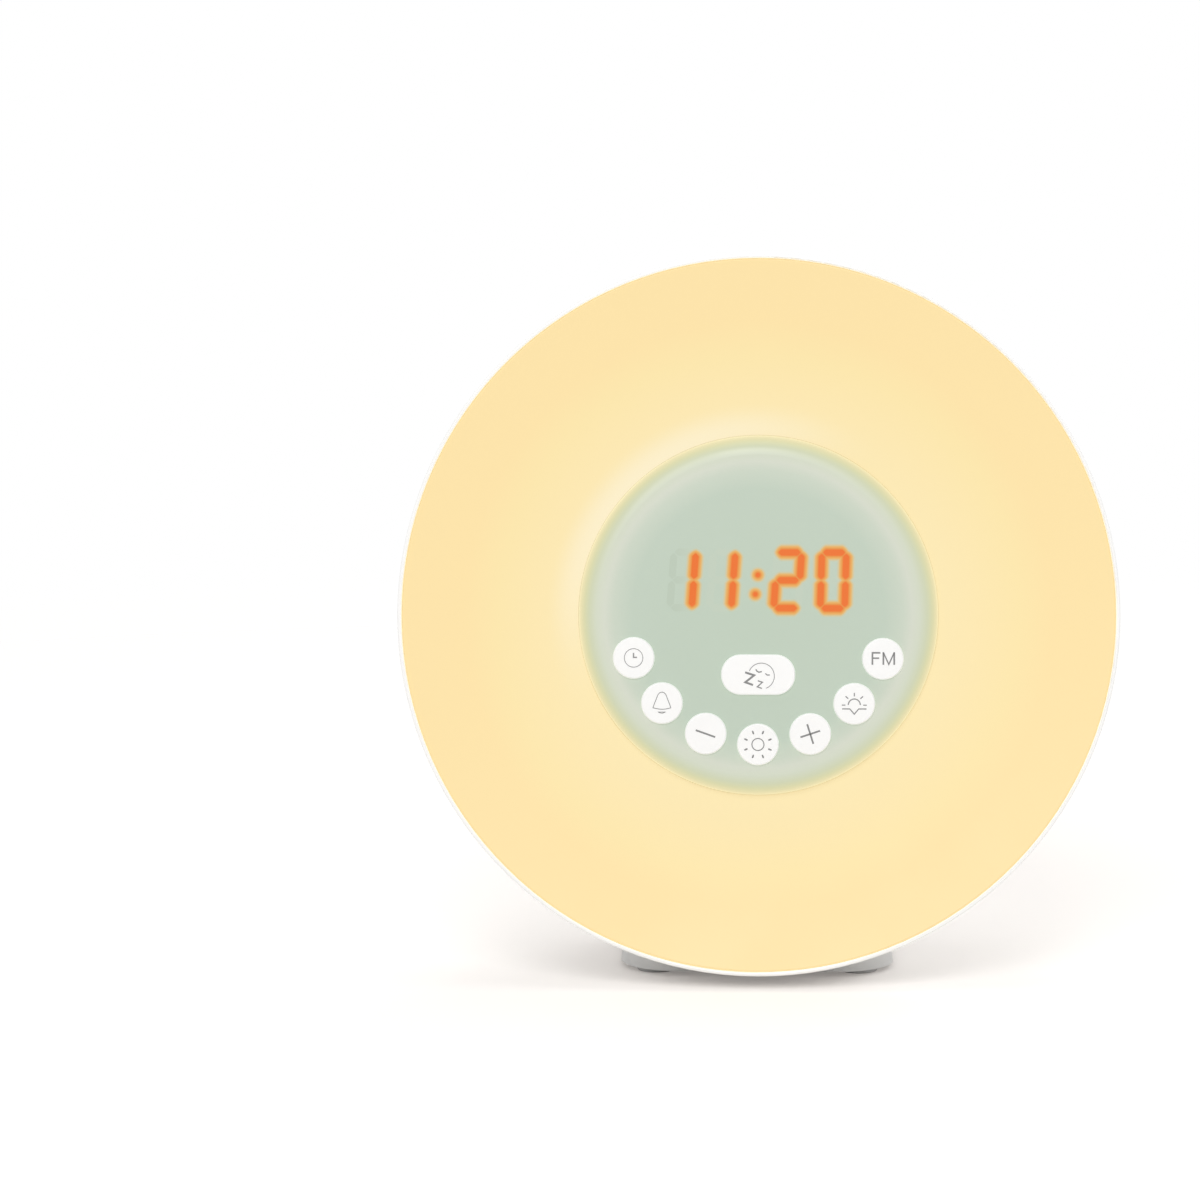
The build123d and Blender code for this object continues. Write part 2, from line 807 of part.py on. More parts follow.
def hinge_bar(radius, spare):
    """A bar along the door's hinge, with some spare length at each end."""
    length = bay_width + 2 * (door_margin - door_slip + door_pin_reach + spare)
    return Pos(0, door_axis_y, -door_axis_depth) * Rot(0, 90, 0) * Cylinder(radius, length)


def foot_bars(radius, top):
    """Upright bars over the seats of the foot's two screws, in the head's frame."""
    spots = foot_screw_spots()
    return [head.inverse() * rod(x, y, radius, foot_screw_seat, top) for x, y in spots]


def foot_screw_spots():
    return [(side * foot_screw_x, face_y + foot_screw_y) for side in (-1, 1)]


def make_rear_shell():
    """Rear shell with its standoffs, cell bay, grille, speaker seat and blind bosses."""
    outside = case_outside()
    shell = outside - case_inside()
    spigot_hole = step_radius + spigot_wall + slip
    shell -= rod(0, 0, spigot_hole, -trim_depth - spigot_depth - slip, 0)

    # Standoffs that meet the reflector's bosses, with wells for the screw heads.
    room = outside & behind_reflector(reflector_wall + slip)
    for x, y in ring_spots(case_screw_ring, case_screw_angles):
        shell += rod(x, y, well_radius + well_wall, -body_depth, -reflector_depth) & room
        shell -= rod(x, y, well_radius, -body_depth, -case_screw_seat)
        shell -= shank_hole(x, y, case_screw, -case_screw_seat, 0)

    # Ring and posts for the speaker, and its grille.
    wall_face = -inner_face
    flange_top = wall_face + gasket_thickness + speaker_flange
    seat_radius = speaker_radius + slip
    seat_edge = seat_radius + speaker_seat_wall
    shell += rod(0, speaker_y, seat_edge, wall_face - sink, flange_top - slip)
    for x, y in clamp_spots():
        shell += rod(x, y, clamp_post_radius, wall_face - sink, flange_top)
    shell -= rod(0, speaker_y, seat_radius, wall_face, flange_top)
    for x, y in clamp_spots():
        hole_end = flange_top - clamp_screw.length - hole_spare
        shell -= thread_hole(x, y, clamp_screw, hole_end, flange_top)
    for x, y in grille_holes():
        shell -= rod(x, y, grille_hole / 2, -body_depth, wall_face)

    # Bay for the two cells, and the opening and pin holes of its door.
    shell += bay_block(bay_wall, wall_face - sink, bay_wall - bay_floor)
    shell -= bay_block(0, -body_depth, -bay_floor)
    shell -= bay_block(door_margin, -body_depth, -bay_top)
    shell -= hinge_bar(door_pin + door_pin_slip, slip)

    # Hole and cradle for the power socket, and hole for the aerial wire's grommet.
    shell -= rod(socket_x, socket_y, socket_collar + slip, -body_depth, wall_face)
    for side in (-1, 1):
        rib_x = socket_x + side * ((socket_width + socket_rib_wall) / 2 + slip / 2)
        rib_end = wall_face + socket_rib_length
        shell += block(
            rib_x, socket_y, socket_rib_wall, socket_height, wall_face - sink, rib_end
        )
    shell -= rod(grommet_x, socket_y, grommet_neck, -body_depth, wall_face)

    # Blind bosses over the foot's screws.
    for boss in foot_bars(foot_boss_radius, foot_screw_top + foot_boss_cap):
        shell += boss & outside
    for hole in foot_bars(foot_screw.radius + thread_slip, foot_screw_top + hole_spare):
        shell -= hole
    return shell


def make_case_screws():
    spots = ring_spots(case_screw_ring, case_screw_angles)
    return [Pos(x, y, -case_screw_seat) * pan_screw(case_screw) for x, y in spots]


# ---------------------------------------------------------------- speaker
def speaker_part(*corners):
    """A turned part of the speaker. Heights count forwards from the rear wall's inner face."""
    moved = [(corner[0], corner[1] - inner_face, *corner[2:]) for corner in corners]
    return Pos(0, speaker_y, 0) * spin(outline(*moved))


def make_speaker_gasket():
    """Foam ring between the speaker and the wall."""
    return speaker_part(
        (cone_radius, 0),
        (speaker_radius, 0),
        (speaker_radius, gasket_thickness),
        (cone_radius, gasket_thickness),
    )


def make_speaker_frame():
    """Pressed steel basket."""
    low = gasket_thickness
    high = low + basket_depth
    sheet = speaker_flange
    return speaker_part(
        (speaker_radius, low),
        (speaker_radius, low + sheet),
        (cone_radius + 0.6, low + sheet),
        (basket_top, high),
        (0, high),
        (0, high - sheet),
        (basket_top - 0.5, high - sheet),
        (cone_radius, low),
    )


def make_speaker_magnet():
    low = gasket_thickness + basket_depth
    return speaker_part(
        (0, low),
        (magnet_radius, low, 0.6),
        (magnet_radius, low + magnet_height, 0.6),
        (0, low + magnet_height),
    )


def make_speaker_cone():
    """Paper cone with its rolled edge and dust cap, glued inside the basket's flange."""
    low = gasket_thickness
    roll = cone_radius - 1.0  # radius of the middle of the rolled edge
    neck = low + cone_height
    cap = low + cone_height / 2
    return speaker_part(
        (cone_radius, low),
        (roll, low - cone_roll, 0.4),
        (roll - 1.2, low, 0.3),
        (dust_cap + 3.2, neck),
        (dust_cap, cap + 0.3, 1.5),
        (0, cap),
        (0, cap + cone_paper),
        (dust_cap, cap + 0.3 + cone_paper, 1.5),
        (dust_cap + 3.0, neck + 0.1 + cone_paper),
        (roll - 1.0, low + 0.1 + cone_paper, 0.3),
        (roll, low - cone_roll + cone_paper, 0.4),
        (cone_radius - 0.3, low + 0.25),
    )


def make_speaker_screws():
    """Three wide-headed screws, whose heads clamp the basket's flange."""
    seat = gasket_thickness + speaker_flange - inner_face
    screw = Rot(180, 0, 0) * pan_screw(clamp_screw)
    return [Pos(x, y, seat) * screw for x, y in clamp_spots()]


# ---------------------------------------------------------------- power socket and aerial grommet
def make_power_socket():
    """Socket for a 5.5 mm barrel plug, let into the rear wall."""
    x, y = socket_x, socket_y
    mouth = socket_recess - body_depth
    socket = rod(x, y, socket_collar, mouth, -inner_face)
    socket += block(x, y, socket_width, socket_height, -inner_face, socket_length - inner_face)
    floor = mouth + socket_bore_depth
    socket -= rod(x, y, socket_bore, mouth, floor)
    return socket - rod(x, y, socket_pin_root, floor, floor + socket_pin_root_length)


def make_power_pin():
    x, y = socket_x, socket_y
    mouth = socket_recess - body_depth
    floor = mouth + socket_bore_depth
    pin = rod(x, y, socket_pin, mouth + socket_pin_recess, floor)
    pin = fillet(pin.edges().group_by(Axis.Z)[0], 0.4)
    return pin + rod(x, y, socket_pin_root, floor, floor + socket_pin_root_length)


def make_aerial_grommet():
    """Rubber grommet that the radio's aerial wire leaves through."""
    return Pos(grommet_x, socket_y, 0) * spin(
        outline(
            (grommet_wire, -body_depth - grommet_lip),
            (grommet_flange, -body_depth - grommet_lip, grommet_lip * 0.45),
            (grommet_flange, -body_depth),
            (grommet_neck, -body_depth),
            (grommet_neck, -inner_face),
            (grommet_flange, -inner_face),
            (grommet_flange, -inner_face + grommet_lip),
            (grommet_wire, -inner_face + grommet_lip),
        )
    )


# ---------------------------------------------------------------- cell bay
def cell_layout():
    """(middle y, direction that the button end points in) for the two cells."""
    return [(bay_y - cell_pitch / 2, -1), (bay_y + cell_pitch / 2, 1)]


def make_cells():
    """Two AAA cells that keep the time through a power cut, laid head to tail."""
    cells = []
    for y, way in cell_layout():
        can = Cylinder(cell_diameter / 2, cell_length)
        can = fillet(can.edges().filter_by(GeomType.CIRCLE), cell_round)
        can += rod(0, 0, cell_nub_radius, cell_length / 2, cell_length / 2 + cell_nub)
        middle = way * (bay_width / 2 - plate_thickness - cell_nub - cell_length / 2)
        cells.append(Pos(middle, y, -cell_axis_depth) * Rot(0, way * 90, 0) * can)
    return cells


def make_cell_plates():
    """Nickelled plates: one joins the two cells at the left, two take the leads at the right."""
    left = plate_thickness / 2 - bay_width / 2
    joined = Box(plate_thickness, cell_pitch + plate_side, plate_side)
    single = Box(plate_thickness, plate_side, plate_side)
    plates = [Pos(left, bay_y, -cell_axis_depth) * joined]
    plates += [Pos(-left, y, -cell_axis_depth) * single for y, _ in cell_layout()]
    return plates


def make_cell_springs():
    """Coil springs that press on the cells' flat ends."""
    springs = []
    coil = spring_room - spring_wire
    for y, way in cell_layout():
        path = Helix(pitch=coil / spring_turns, height=coil, radius=spring_radius)
        section = (path ^ 0) * Circle(spring_wire / 2)
        wire = Pos(0, 0, spring_wire / 2) * sweep(section, path=path)
        start = -way * (bay_width / 2 - plate_thickness)
        springs.append(Pos(start, y, -cell_axis_depth) * Rot(0, way * 90, 0) * wire)
    return springs


def make_cell_door():
    """Door of the cell bay, which swings on two stub pins at its lower edge."""
    width = bay_width + 2 * (door_margin - door_slip)
    upper = bay_y + bay_height / 2 + door_margin - door_slip
    rounding = door_thickness / 2 - 0.01
    profile = outline(
        (door_edge, -body_depth, rounding),
        (upper, -body_depth, 0.3),
        (upper, door_thickness - body_depth),
        (door_edge, door_thickness - body_depth, rounding),
    )
    door = extrude(Plane.YZ * profile, amount=width / 2, both=True)
    door += hinge_bar(door_pin, 0)
    tongue_width, tongue_wall, tongue_reach = tongue_size
    tongue_y = bay_y + bay_height / 2 - tongue_gap - tongue_wall / 2
    door_back = door_thickness - body_depth
    door += block(
        0, tongue_y, tongue_width, tongue_wall, door_back - sink, door_back + tongue_reach
    )
    hollow = rod(0, upper + 1.0, thumb_radius, -body_depth, thumb_depth - body_depth)
    return door - hollow


# ---------------------------------------------------------------- foot, in the clock's frame
def tapered_block(shrink, low, high):
    """The foot's outside, or its inside when shrunk by a wall, between two heights."""
    narrowing = (low - foot_low) * math.tan(math.radians(foot_draft)) + shrink
    face = RectangleRounded(
        foot_width - 2 * narrowing, foot_length - 2 * narrowing, foot_corner - narrowing
    )
    face = Pos(0, foot_middle_y, low) * face
    return extrude(face, amount=high - low, taper=foot_draft, dir=(0, 0, 1))


def pad_spots():
    half_x = foot_width / 2 - pad_inset
    half_y = foot_length / 2 - pad_inset
    return [
        (side_x * half_x, foot_middle_y + side_y * half_y)
        for side_y in (-1, 1)
        for side_x in (-1, 1)
    ]


def make_foot():
    """Hollow foot, shaped to the hub that it is screwed to from below."""
    body = tapered_block(0, foot_low, foot_top)
    hollow = tapered_block(foot_wall, foot_low + foot_wall, foot_top + 1)
    foot = body - hollow
    for x, y in foot_screw_spots():
        foot += rod(x, y, well_radius + foot_tube_wall, foot_low, foot_top)
        foot -= rod(x, y, well_radius, foot_low, foot_screw_seat)
        foot -= shank_hole(x, y, foot_screw, foot_low, foot_top)
    foot -= head * case_outside()
    for x, y in pad_spots():
        foot -= rod(x, y, pad_radius + pad_slip, foot_low, pad_thickness)
    return foot


def make_foot_screws():
    return [Pos(x, y, foot_screw_seat) * pan_screw(foot_screw) for x, y in foot_screw_spots()]


def make_pads():
    pads = []
    for x, y in pad_spots():
        pad = rod(x, y, pad_radius, 0, pad_thickness)
        pads.append(fillet(pad.edges().group_by(Axis.Z)[0], pad_round))
    return pads


# ---------------------------------------------------------------- leads inside the case
def bowed_route(start, end, leave, arrive, bow):
    """Points from start to end. The route leaves and arrives along z, and bows in its middle."""
    start, end = Vector(*start), Vector(*end)
    return [
        start,
        start + Vector(0, 0, leave),
        (start + end) * 0.5 + Vector(*bow),
        end + Vector(0, 0, arrive),
        end,
    ]


def beside(here, there):
    """The direction across a run between two points, seen along the face's axis."""
    run = there - here
    return Vector(run.Y, -run.X, 0).normalized()


def lead_pair(route, across):
    """Two insulated wires side by side along one route of straight runs and tangent arcs."""
    bends = []
    for before, here, after in zip(route, route[1:], route[2:]):
        turn = math.radians((here - before).get_angle(after - here))
        run = min((here - before).length, (after - here).length)
        bends.append(0.45 * run / math.tan(turn / 2))
    print("bend radii", [round(bend, 1) for bend in bends])
    wires = []
    for side in (-0.5, 0.5):
        shift = across * (side * lead_spacing)
        path = FilletPolyline(*[point + shift for point in route], radius=bends)
        section = Plane(origin=path @ 0, z_dir=path % 0) * Circle(lead_radius)
        wires.append(sweep(section, path=path))
    return wires


def connector_mouth(name):
    x, y = connector_spots[name]
    return x, y, -board_back - connector_size[2]


def make_light_leads():
    """From the main board, round behind the reflector, to the ring of lights."""
    end = (*polar(light_ring_radius, light_lead_angle), -reflector_depth)
    route = bowed_route(connector_mouth("light"), end, -10.0, -9.0, (0, 0, -15.5))
    return lead_pair(route, beside(route[0], route[-1]))


def make_speaker_leads():
    """From the main board to the flat back of the speaker's basket, beside the magnet."""
    x, y = polar((magnet_radius + basket_top) / 2, 150)
    end = (x, y + speaker_y, gasket_thickness + basket_depth - inner_face)
    route = bowed_route(connector_mouth("speaker"), end, -9.0, 9.0, (-4.0, 3.0, 0))
    return lead_pair(route, beside(route[0], route[2]))


def make_power_leads():
    start = (socket_x, socket_y, socket_length - inner_face)
    route = bowed_route(start, connector_mouth("power"), 8.0, -8.0, (1.0, -1.5, 0))
    return lead_pair(route, beside(route[0], route[-1]))


def make_cell_leads():
    """From the end of the cell bay that has the two single plates."""
    start = (bay_width / 2 - 4.0, bay_y, bay_wall - bay_floor)
    route = bowed_route(start, connector_mouth("cells"), 8.0, -8.0, (1.0, -2.0, 0))
    return lead_pair(route, beside(route[0], route[-1]))


# ---------------------------------------------------------------- writing the nodes
def main():
    os.makedirs("parts", exist_ok=True)
    lit, unlit = make_segments()

    write("trim_ring", make_trim_ring())
    write("diffuser", make_diffuser())
    write("control_panel", make_panel(lit + unlit))
    write("lit_segments", lit)
    write("unlit_segments", unlit)
    for name in button_spots:
        write(f"{name}_button", make_button(name))
        write(f"{name}_plunger", make_plunger(name))
    write("switch_bodies", make_switches())

    write("display_module", make_display_module())
    write("display_gasket", make_display_gasket())
    write("main_board", make_main_board())
    write("board_screws", make_board_screws())
    write("controller_chip", make_controller_chip())
    write("radio_module", make_radio_module())
    write("clock_crystal", make_clock_crystal())
    write("capacitors", make_capacitors())
    write("connectors", make_connectors())

    write("reflector", make_reflector())
    write("dish_screws", make_dish_screws())
    write("light_board", make_light_board())
    write("light_screws", make_light_screws())
    write("white_leds", make_white_leds())
    write("colour_leds", make_colour_leds())

    write("rear_shell", make_rear_shell())
    write("case_screws", make_case_screws())
    write("speaker_gasket", make_speaker_gasket())
    write("speaker_frame", make_speaker_frame())
    write("speaker_magnet", make_speaker_magnet())
    write("speaker_cone", make_speaker_cone())
    write("speaker_screws", make_speaker_screws())
    write("power_socket", make_power_socket())
    write("power_pin", make_power_pin())
    write("aerial_grommet", make_aerial_grommet())

    write("backup_cells", make_cells())
    write("cell_plates", make_cell_plates())
    write("cell_springs", make_cell_springs())
    write("cell_door", make_cell_door())

    write("foot", make_foot(), Location())
    write("foot_screws", make_foot_screws(), Location())
    write("rubber_pads", make_pads(), Location())

    write("light_leads", make_light_leads())
    write("speaker_leads", make_speaker_leads())
    write("power_leads", make_power_leads())
    write("cell_leads", make_cell_leads())


main()
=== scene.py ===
import math

import bmesh
import bpy
from mathutils import Matrix, Vector


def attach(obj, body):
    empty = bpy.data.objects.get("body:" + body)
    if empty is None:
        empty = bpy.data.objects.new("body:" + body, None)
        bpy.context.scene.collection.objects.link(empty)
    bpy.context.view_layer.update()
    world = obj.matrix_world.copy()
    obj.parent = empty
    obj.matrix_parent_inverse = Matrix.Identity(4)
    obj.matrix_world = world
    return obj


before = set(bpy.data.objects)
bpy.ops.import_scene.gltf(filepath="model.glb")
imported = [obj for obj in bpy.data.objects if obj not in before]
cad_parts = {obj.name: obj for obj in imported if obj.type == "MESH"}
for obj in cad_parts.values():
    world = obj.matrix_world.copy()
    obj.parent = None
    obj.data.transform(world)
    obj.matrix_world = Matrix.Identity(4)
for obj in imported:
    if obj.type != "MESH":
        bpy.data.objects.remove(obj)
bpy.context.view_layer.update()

# The camera stands on the axis of the face, which leans back eight degrees, and looks a little to
# one side of it, so that the clock stands right of the middle. Every flat sign and lit bar on the
# face is drawn in the face's own frame, which starts at the front edge of the trim ring.
face_front, face_tilt = (0, -0.0320968, 0.0887507), math.radians(82)
camera_distance, camera_lens, look_aside = 1.5, 189.1, (-0.0377, 0.00345, 0)
face = Matrix.Translation(face_front) @ Matrix.Rotation(face_tilt, 4, "X")
camera = bpy.data.objects.new("camera", bpy.data.cameras.new("camera"))
camera.data.lens = camera_lens
camera.data.clip_end = 50
camera.location = face @ Vector((0, 0, camera_distance))
look = face @ Vector(look_aside) - camera.location
camera.rotation_euler = look.to_track_quat("-Z", "Y").to_euler()
bpy.context.scene.collection.objects.link(camera)
bpy.context.scene.camera = camera
bpy.context.scene.view_settings.view_transform = "Standard"


# The table is white and matt, and fades into a white room a little way from the clock. Soft lamps
# hang in front to the left, overhead, and behind to the right, and the room fills the shadows.
def paint(red, green, blue, share=1.0):
    """A colour as a screen shows it, from 0 to 255, as the light that it stands for."""
    shades = [value / 255 for value in (red, green, blue)]
    return [share * (((s + 0.055) / 1.055) ** 2.4 if s > 0.04 else s / 12.92) for s in shades] + [1.0]


def join(tree, value, socket):
    """Gives an input a value, or joins it to another socket."""
    if isinstance(value, bpy.types.NodeSocket):
        tree.links.new(value, socket)
    else:
        socket.default_value = value


def add(tree, kind, inputs=None, **settings):
    """A node with its settings and its inputs."""
    made = tree.nodes.new(kind)
    for name, value in settings.items():
        setattr(made, name, value)
    for name, value in (inputs or {}).items():
        join(tree, value, made.inputs[name])
    return made


def maths(tree, operation, *values):
    """The result of a Math node."""
    return add(tree, "ShaderNodeMath", dict(enumerate(values)), operation=operation).outputs[0]


def fade(tree, value, start, end, low=0.0, high=1.0):
    """A smooth step from low to high while a value goes from start to end."""
    inputs = {"Value": value, "From Min": start, "From Max": end, "To Min": low, "To Max": high}
    node = add(tree, "ShaderNodeMapRange", inputs, interpolation_type="SMOOTHSTEP")
    return node.outputs["Result"]


table_reach, table_fades = 3, (0.25, 0.75)
corners = [(x * table_reach, y * table_reach, 0) for x, y in ((-1, -1), (1, -1), (1, 1), (-1, 1))]
table_top = bpy.data.meshes.new("table_top")
table_top.from_pydata(corners, [], [(0, 1, 2, 3)])
table = bpy.data.objects.new("table", table_top)
bpy.context.scene.collection.objects.link(table)
table_paint = bpy.data.materials.new("table_paint")
table_paint.use_nodes = True
tree = table_paint.node_tree
tree.nodes.clear()
seen = add(tree, "ShaderNodeLightPath").outputs["Is Camera Ray"]
matt = add(tree, "ShaderNodeBsdfDiffuse", {"Color": (0.92, 0.9, 0.88, 1)})
lift = add(tree, "ShaderNodeEmission", {"Color": (1, 0.93, 0.88, 1), "Strength": 0.22})
lit = add(tree, "ShaderNodeAddShader", {0: matt.outputs[0], 1: lift.outputs[0]})
spot = add(tree, "ShaderNodeTexCoord").outputs["Object"]
away = add(tree, "ShaderNodeVectorMath", {0: spot}, operation="LENGTH").outputs["Value"]
clear = maths(tree, "MULTIPLY", fade(tree, away, *table_fades), seen)
near = add(tree, "ShaderNodeMixShader", {0: seen, 1: matt.outputs[0], 2: lit.outputs[0]})
bare = add(tree, "ShaderNodeBsdfTransparent")
both = add(tree, "ShaderNodeMixShader", {0: clear, 1: near.outputs[0], 2: bare.outputs[0]})
add(tree, "ShaderNodeOutputMaterial", {"Surface": both.outputs[0]})
table_top.materials.append(table_paint)

room = bpy.data.worlds.new("room")
room.use_nodes = True
tree = room.node_tree
tree.nodes.clear()
rays = add(tree, "ShaderNodeLightPath").outputs
mirrored = maths(tree, "MAXIMUM", rays["Is Glossy Ray"], rays["Is Transmission Ray"])
seen = maths(tree, "MAXIMUM", rays["Is Camera Ray"], mirrored)
dim = add(tree, "ShaderNodeBackground", {"Color": (1, 1, 1, 1), "Strength": 0.55})
white = add(tree, "ShaderNodeBackground", {"Color": (1, 1, 1, 1), "Strength": 1.0})
mixed = add(tree, "ShaderNodeMixShader", {0: seen, 1: dim.outputs[0], 2: white.outputs[0]})
add(tree, "ShaderNodeOutputWorld", {"Surface": mixed.outputs[0]})
bpy.context.scene.world = room


def hang_lamp(name, place, aim, watts, size=0.9):
    """A square softbox at a place, turned to face a point."""
    lamp = bpy.data.lights.new(name, "AREA")
    lamp.shape = "SQUARE"
    lamp.size = size
    lamp.energy = watts
    hung = bpy.data.objects.new(name, lamp)
    hung.location = place
    hung.rotation_euler = (Vector(aim) - Vector(place)).to_track_quat("-Z", "Y").to_euler()
    bpy.context.scene.collection.objects.link(hung)


hang_lamp("front_lamp", (-0.2, -1.55, 1.2), (0, 0, 0.08), 13.5)
hang_lamp("top_lamp", (0.0, 0.1, 1.4), (0, 0, 0), 3.5)
hang_lamp("rear_lamp", (0.9, 1.3, 0.9), (0, 0, 0.08), 6)


# The clock panel is a cup moulded in pale green, faintly milky plastic, with a broad soft edge that
# drops into the middle of the dish. The dish's light creeping into that edge, and the light of the
# display's bars creeping a little way into the plastic round them, are painted glows.
def blend(tree, share, first, second):
    """A mix of two colours."""
    node = add(tree, "ShaderNodeMix", data_type="RGBA")
    for socket, value in zip((node.inputs[0], node.inputs[6], node.inputs[7]), (share, first, second)):
        join(tree, value, socket)
    return node.outputs[2]


def shade(tree, colour, share):
    """A colour made darker, or a vector scaled."""
    return add(tree, "ShaderNodeVectorMath", {0: colour, "Scale": share}, operation="SCALE").outputs[0]


def vectors(tree, operation, *values):
    """The number that a Vector Math node makes of its vectors."""
    return add(tree, "ShaderNodeVectorMath", dict(enumerate(values)), operation=operation).outputs["Value"]


def new_group(name, inputs, outputs):
    """A shader node group with its sockets, and the nodes that its inputs and outputs meet."""
    group = bpy.data.node_groups.new(name, "ShaderNodeTree")
    for side, sockets in (("INPUT", inputs), ("OUTPUT", outputs)):
        for label, kind in sockets.items():
            group.interface.new_socket(label, in_out=side, socket_type="NodeSocket" + kind)
    return group, group.nodes.new("NodeGroupInput").outputs, group.nodes.new("NodeGroupOutput").inputs


def use(tree, group, inputs=None):
    """The outputs of a node group, placed in a tree with its inputs."""
    return add(tree, "ShaderNodeGroup", inputs, node_tree=group).outputs


skin_gives = {"Height": "Float", "Cloud": "Float"}
moulded_skin, asked, given = new_group("moulded_skin", {"Fineness": "Float"}, skin_gives)
spot = add(moulded_skin, "ShaderNodeTexCoord").outputs["Object"]
pimples = add(moulded_skin, "ShaderNodeTexNoise", {"Vector": spot, "Scale": asked["Fineness"], "Detail": 3.0})
clouds = add(moulded_skin, "ShaderNodeTexNoise", {"Vector": spot, "Scale": 42.0, "Detail": 2.0})
moulded_skin.links.new(pimples.outputs[0], given["Height"])
moulded_skin.links.new(clouds.outputs[0], given["Cloud"])
cloud_middle, gloss_swing = (0.3, 0.7), 0.12


def new_finish(name, colour, roughness, fineness, microns, skin=moulded_skin, uneven=0.95, **more):
    """A finish with its own skin: a little uneven in gloss and tone, and rough by some microns."""
    finish = bpy.data.materials.new(name)
    finish.use_nodes = True
    tree = finish.node_tree
    shader = tree.nodes["Principled BSDF"]
    grain = use(tree, skin, {"Fineness": fineness})
    dull = [value * uneven for value in colour[:3]] + [1.0]
    tree.links.new(blend(tree, grain["Cloud"], dull, colour), shader.inputs["Base Color"])
    glossy, dry = roughness * (1 - gloss_swing), roughness * (1 + gloss_swing)
    tree.links.new(fade(tree, grain["Cloud"], *cloud_middle, glossy, dry), shader.inputs["Roughness"])
    relief = add(tree, "ShaderNodeBump", {"Distance": microns / 1e6, "Height": grain["Height"]})
    tree.links.new(relief.outputs[0], shader.inputs["Normal"])
    for label, value in more.items():
        shader.inputs[label.replace("_", " ")].default_value = value
    return finish


def dress(finish, *nodes):
    """Gives pieces a finish."""
    for name in nodes:
        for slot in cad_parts[name].material_slots:
            slot.material = finish


millimetre = 0.001
places = {"Place": "Vector", "Flat": "Vector", "Radius": "Float", "Depth": "Float"}
face_place, asked, given = new_group("face_place", {}, places)
spot = add(face_place, "ShaderNodeTexCoord").outputs["Object"]
turned = add(face_place, "ShaderNodeMapping", {"Vector": spot}, vector_type="TEXTURE")
turned.inputs["Location"].default_value = face.translation
turned.inputs["Rotation"].default_value = face.to_euler()
turned.inputs["Scale"].default_value = [millimetre] * 3
place = turned.outputs[0]
flat = add(face_place, "ShaderNodeVectorMath", {0: place, 1: (1, 1, 0)}, operation="MULTIPLY").outputs[0]
face_place.links.new(place, given["Place"])
face_place.links.new(flat, given["Flat"])
face_place.links.new(vectors(face_place, "LENGTH", flat), given["Radius"])
face_place.links.new(add(face_place, "ShaderNodeSeparateXYZ", {0: place}).outputs["Z"], given["Depth"])


def place_in(tree):
    """Places in the face's frame, in millimetres."""
    return use(tree, face_place)


def rings(tree, radius, stops):
    """Colours by distance, in millimetres."""
    low, high = stops[0][0], stops[-1][0]
    share = add(tree, "ShaderNodeMapRange", {"Value": radius, "From Min": low, "From Max": high})
    ramp = add(tree, "ShaderNodeValToRGB", {"Fac": share.outputs[0]})
    bands = ramp.color_ramp.elements
    while len(bands) < len(stops):
        bands.new(0.5)
    for band, stop in zip(bands, stops):
        band.position = (stop[0] - low) / (high - low)
    for band, stop in zip(bands, stops):
        band.color = paint(*stop[1:])
    return ramp.outputs["Color"]


# The light of a lit bar fades away from its middle line, and sooner past the line's pointed ends.
end_loss, point = 1.1, 1.5  # a point of 1 would be sharp, and one of 2 round
bar_reach, asked, given = new_group(
    "bar_reach", {"Place": "Vector", "Start": "Vector", "End": "Vector"}, {"Reach": "Float"}
)
here, start, end = asked["Place"], asked["Start"], asked["End"]
off = add(bar_reach, "ShaderNodeVectorMath", {0: here, 1: start}, operation="SUBTRACT").outputs[0]
run = add(bar_reach, "ShaderNodeVectorMath", {0: end, 1: start}, operation="SUBTRACT").outputs[0]
way = add(bar_reach, "ShaderNodeVectorMath", {0: run}, operation="NORMALIZE").outputs[0]
along = vectors(bar_reach, "DOT_PRODUCT", off, way)
aside = vectors(bar_reach, "DISTANCE", off, shade(bar_reach, way, along))
half = maths(bar_reach, "MULTIPLY", vectors(bar_reach, "DISTANCE", start, end), 0.5)
from_middle = maths(bar_reach, "ABSOLUTE", maths(bar_reach, "SUBTRACT", along, half))
beyond = maths(bar_reach, "MAXIMUM", maths(bar_reach, "SUBTRACT", from_middle, half), 0.0)
lost = maths(bar_reach, "MULTIPLY", beyond, end_loss)
both = [maths(bar_reach, "POWER", value, point) for value in (aside, lost)]
reach = maths(bar_reach, "POWER", maths(bar_reach, "ADD", *both), 1 / point)
bar_reach.links.new(reach, given["Reach"])

bar_width, bar_gap, figure_height, figure_y = 1.75, 0.14, 15.0, 8.3
figures = (  # each one's lit bars (a to f clockwise from the top, g across), middle, width and lean
    ("bc", -18.0, 5.2, 4.0), ("bc", -8.6, 5.2, 4.0), ("abged", 6.95, 5.8, 3.5), ("abcdef", 17.8, 5.8, 1.5),
)
rise = figure_height - bar_width
lit_bars = []
for bars, middle, width, slant in figures:
    lean = Vector((math.sin(math.radians(slant)), math.cos(math.radians(slant)), 0))
    level = Vector((width / 2 - bar_gap - bar_width / 2, 0, 0))
    upright = lean * (rise / 4 - bar_gap - bar_width / 2)
    for bar in bars:
        x = {"b": 1, "c": 1, "e": -1, "f": -1}.get(bar, 0) * width / 2
        y = {"a": 2, "b": 1, "f": 1, "g": 0, "c": -1, "e": -1, "d": -2}[bar] * rise / 4
        centre = Vector((middle + x + y * lean.x / lean.y, figure_y + y, 0))
        half = level if bar in "adg" else upright
        lit_bars.append((centre - half, centre + half))

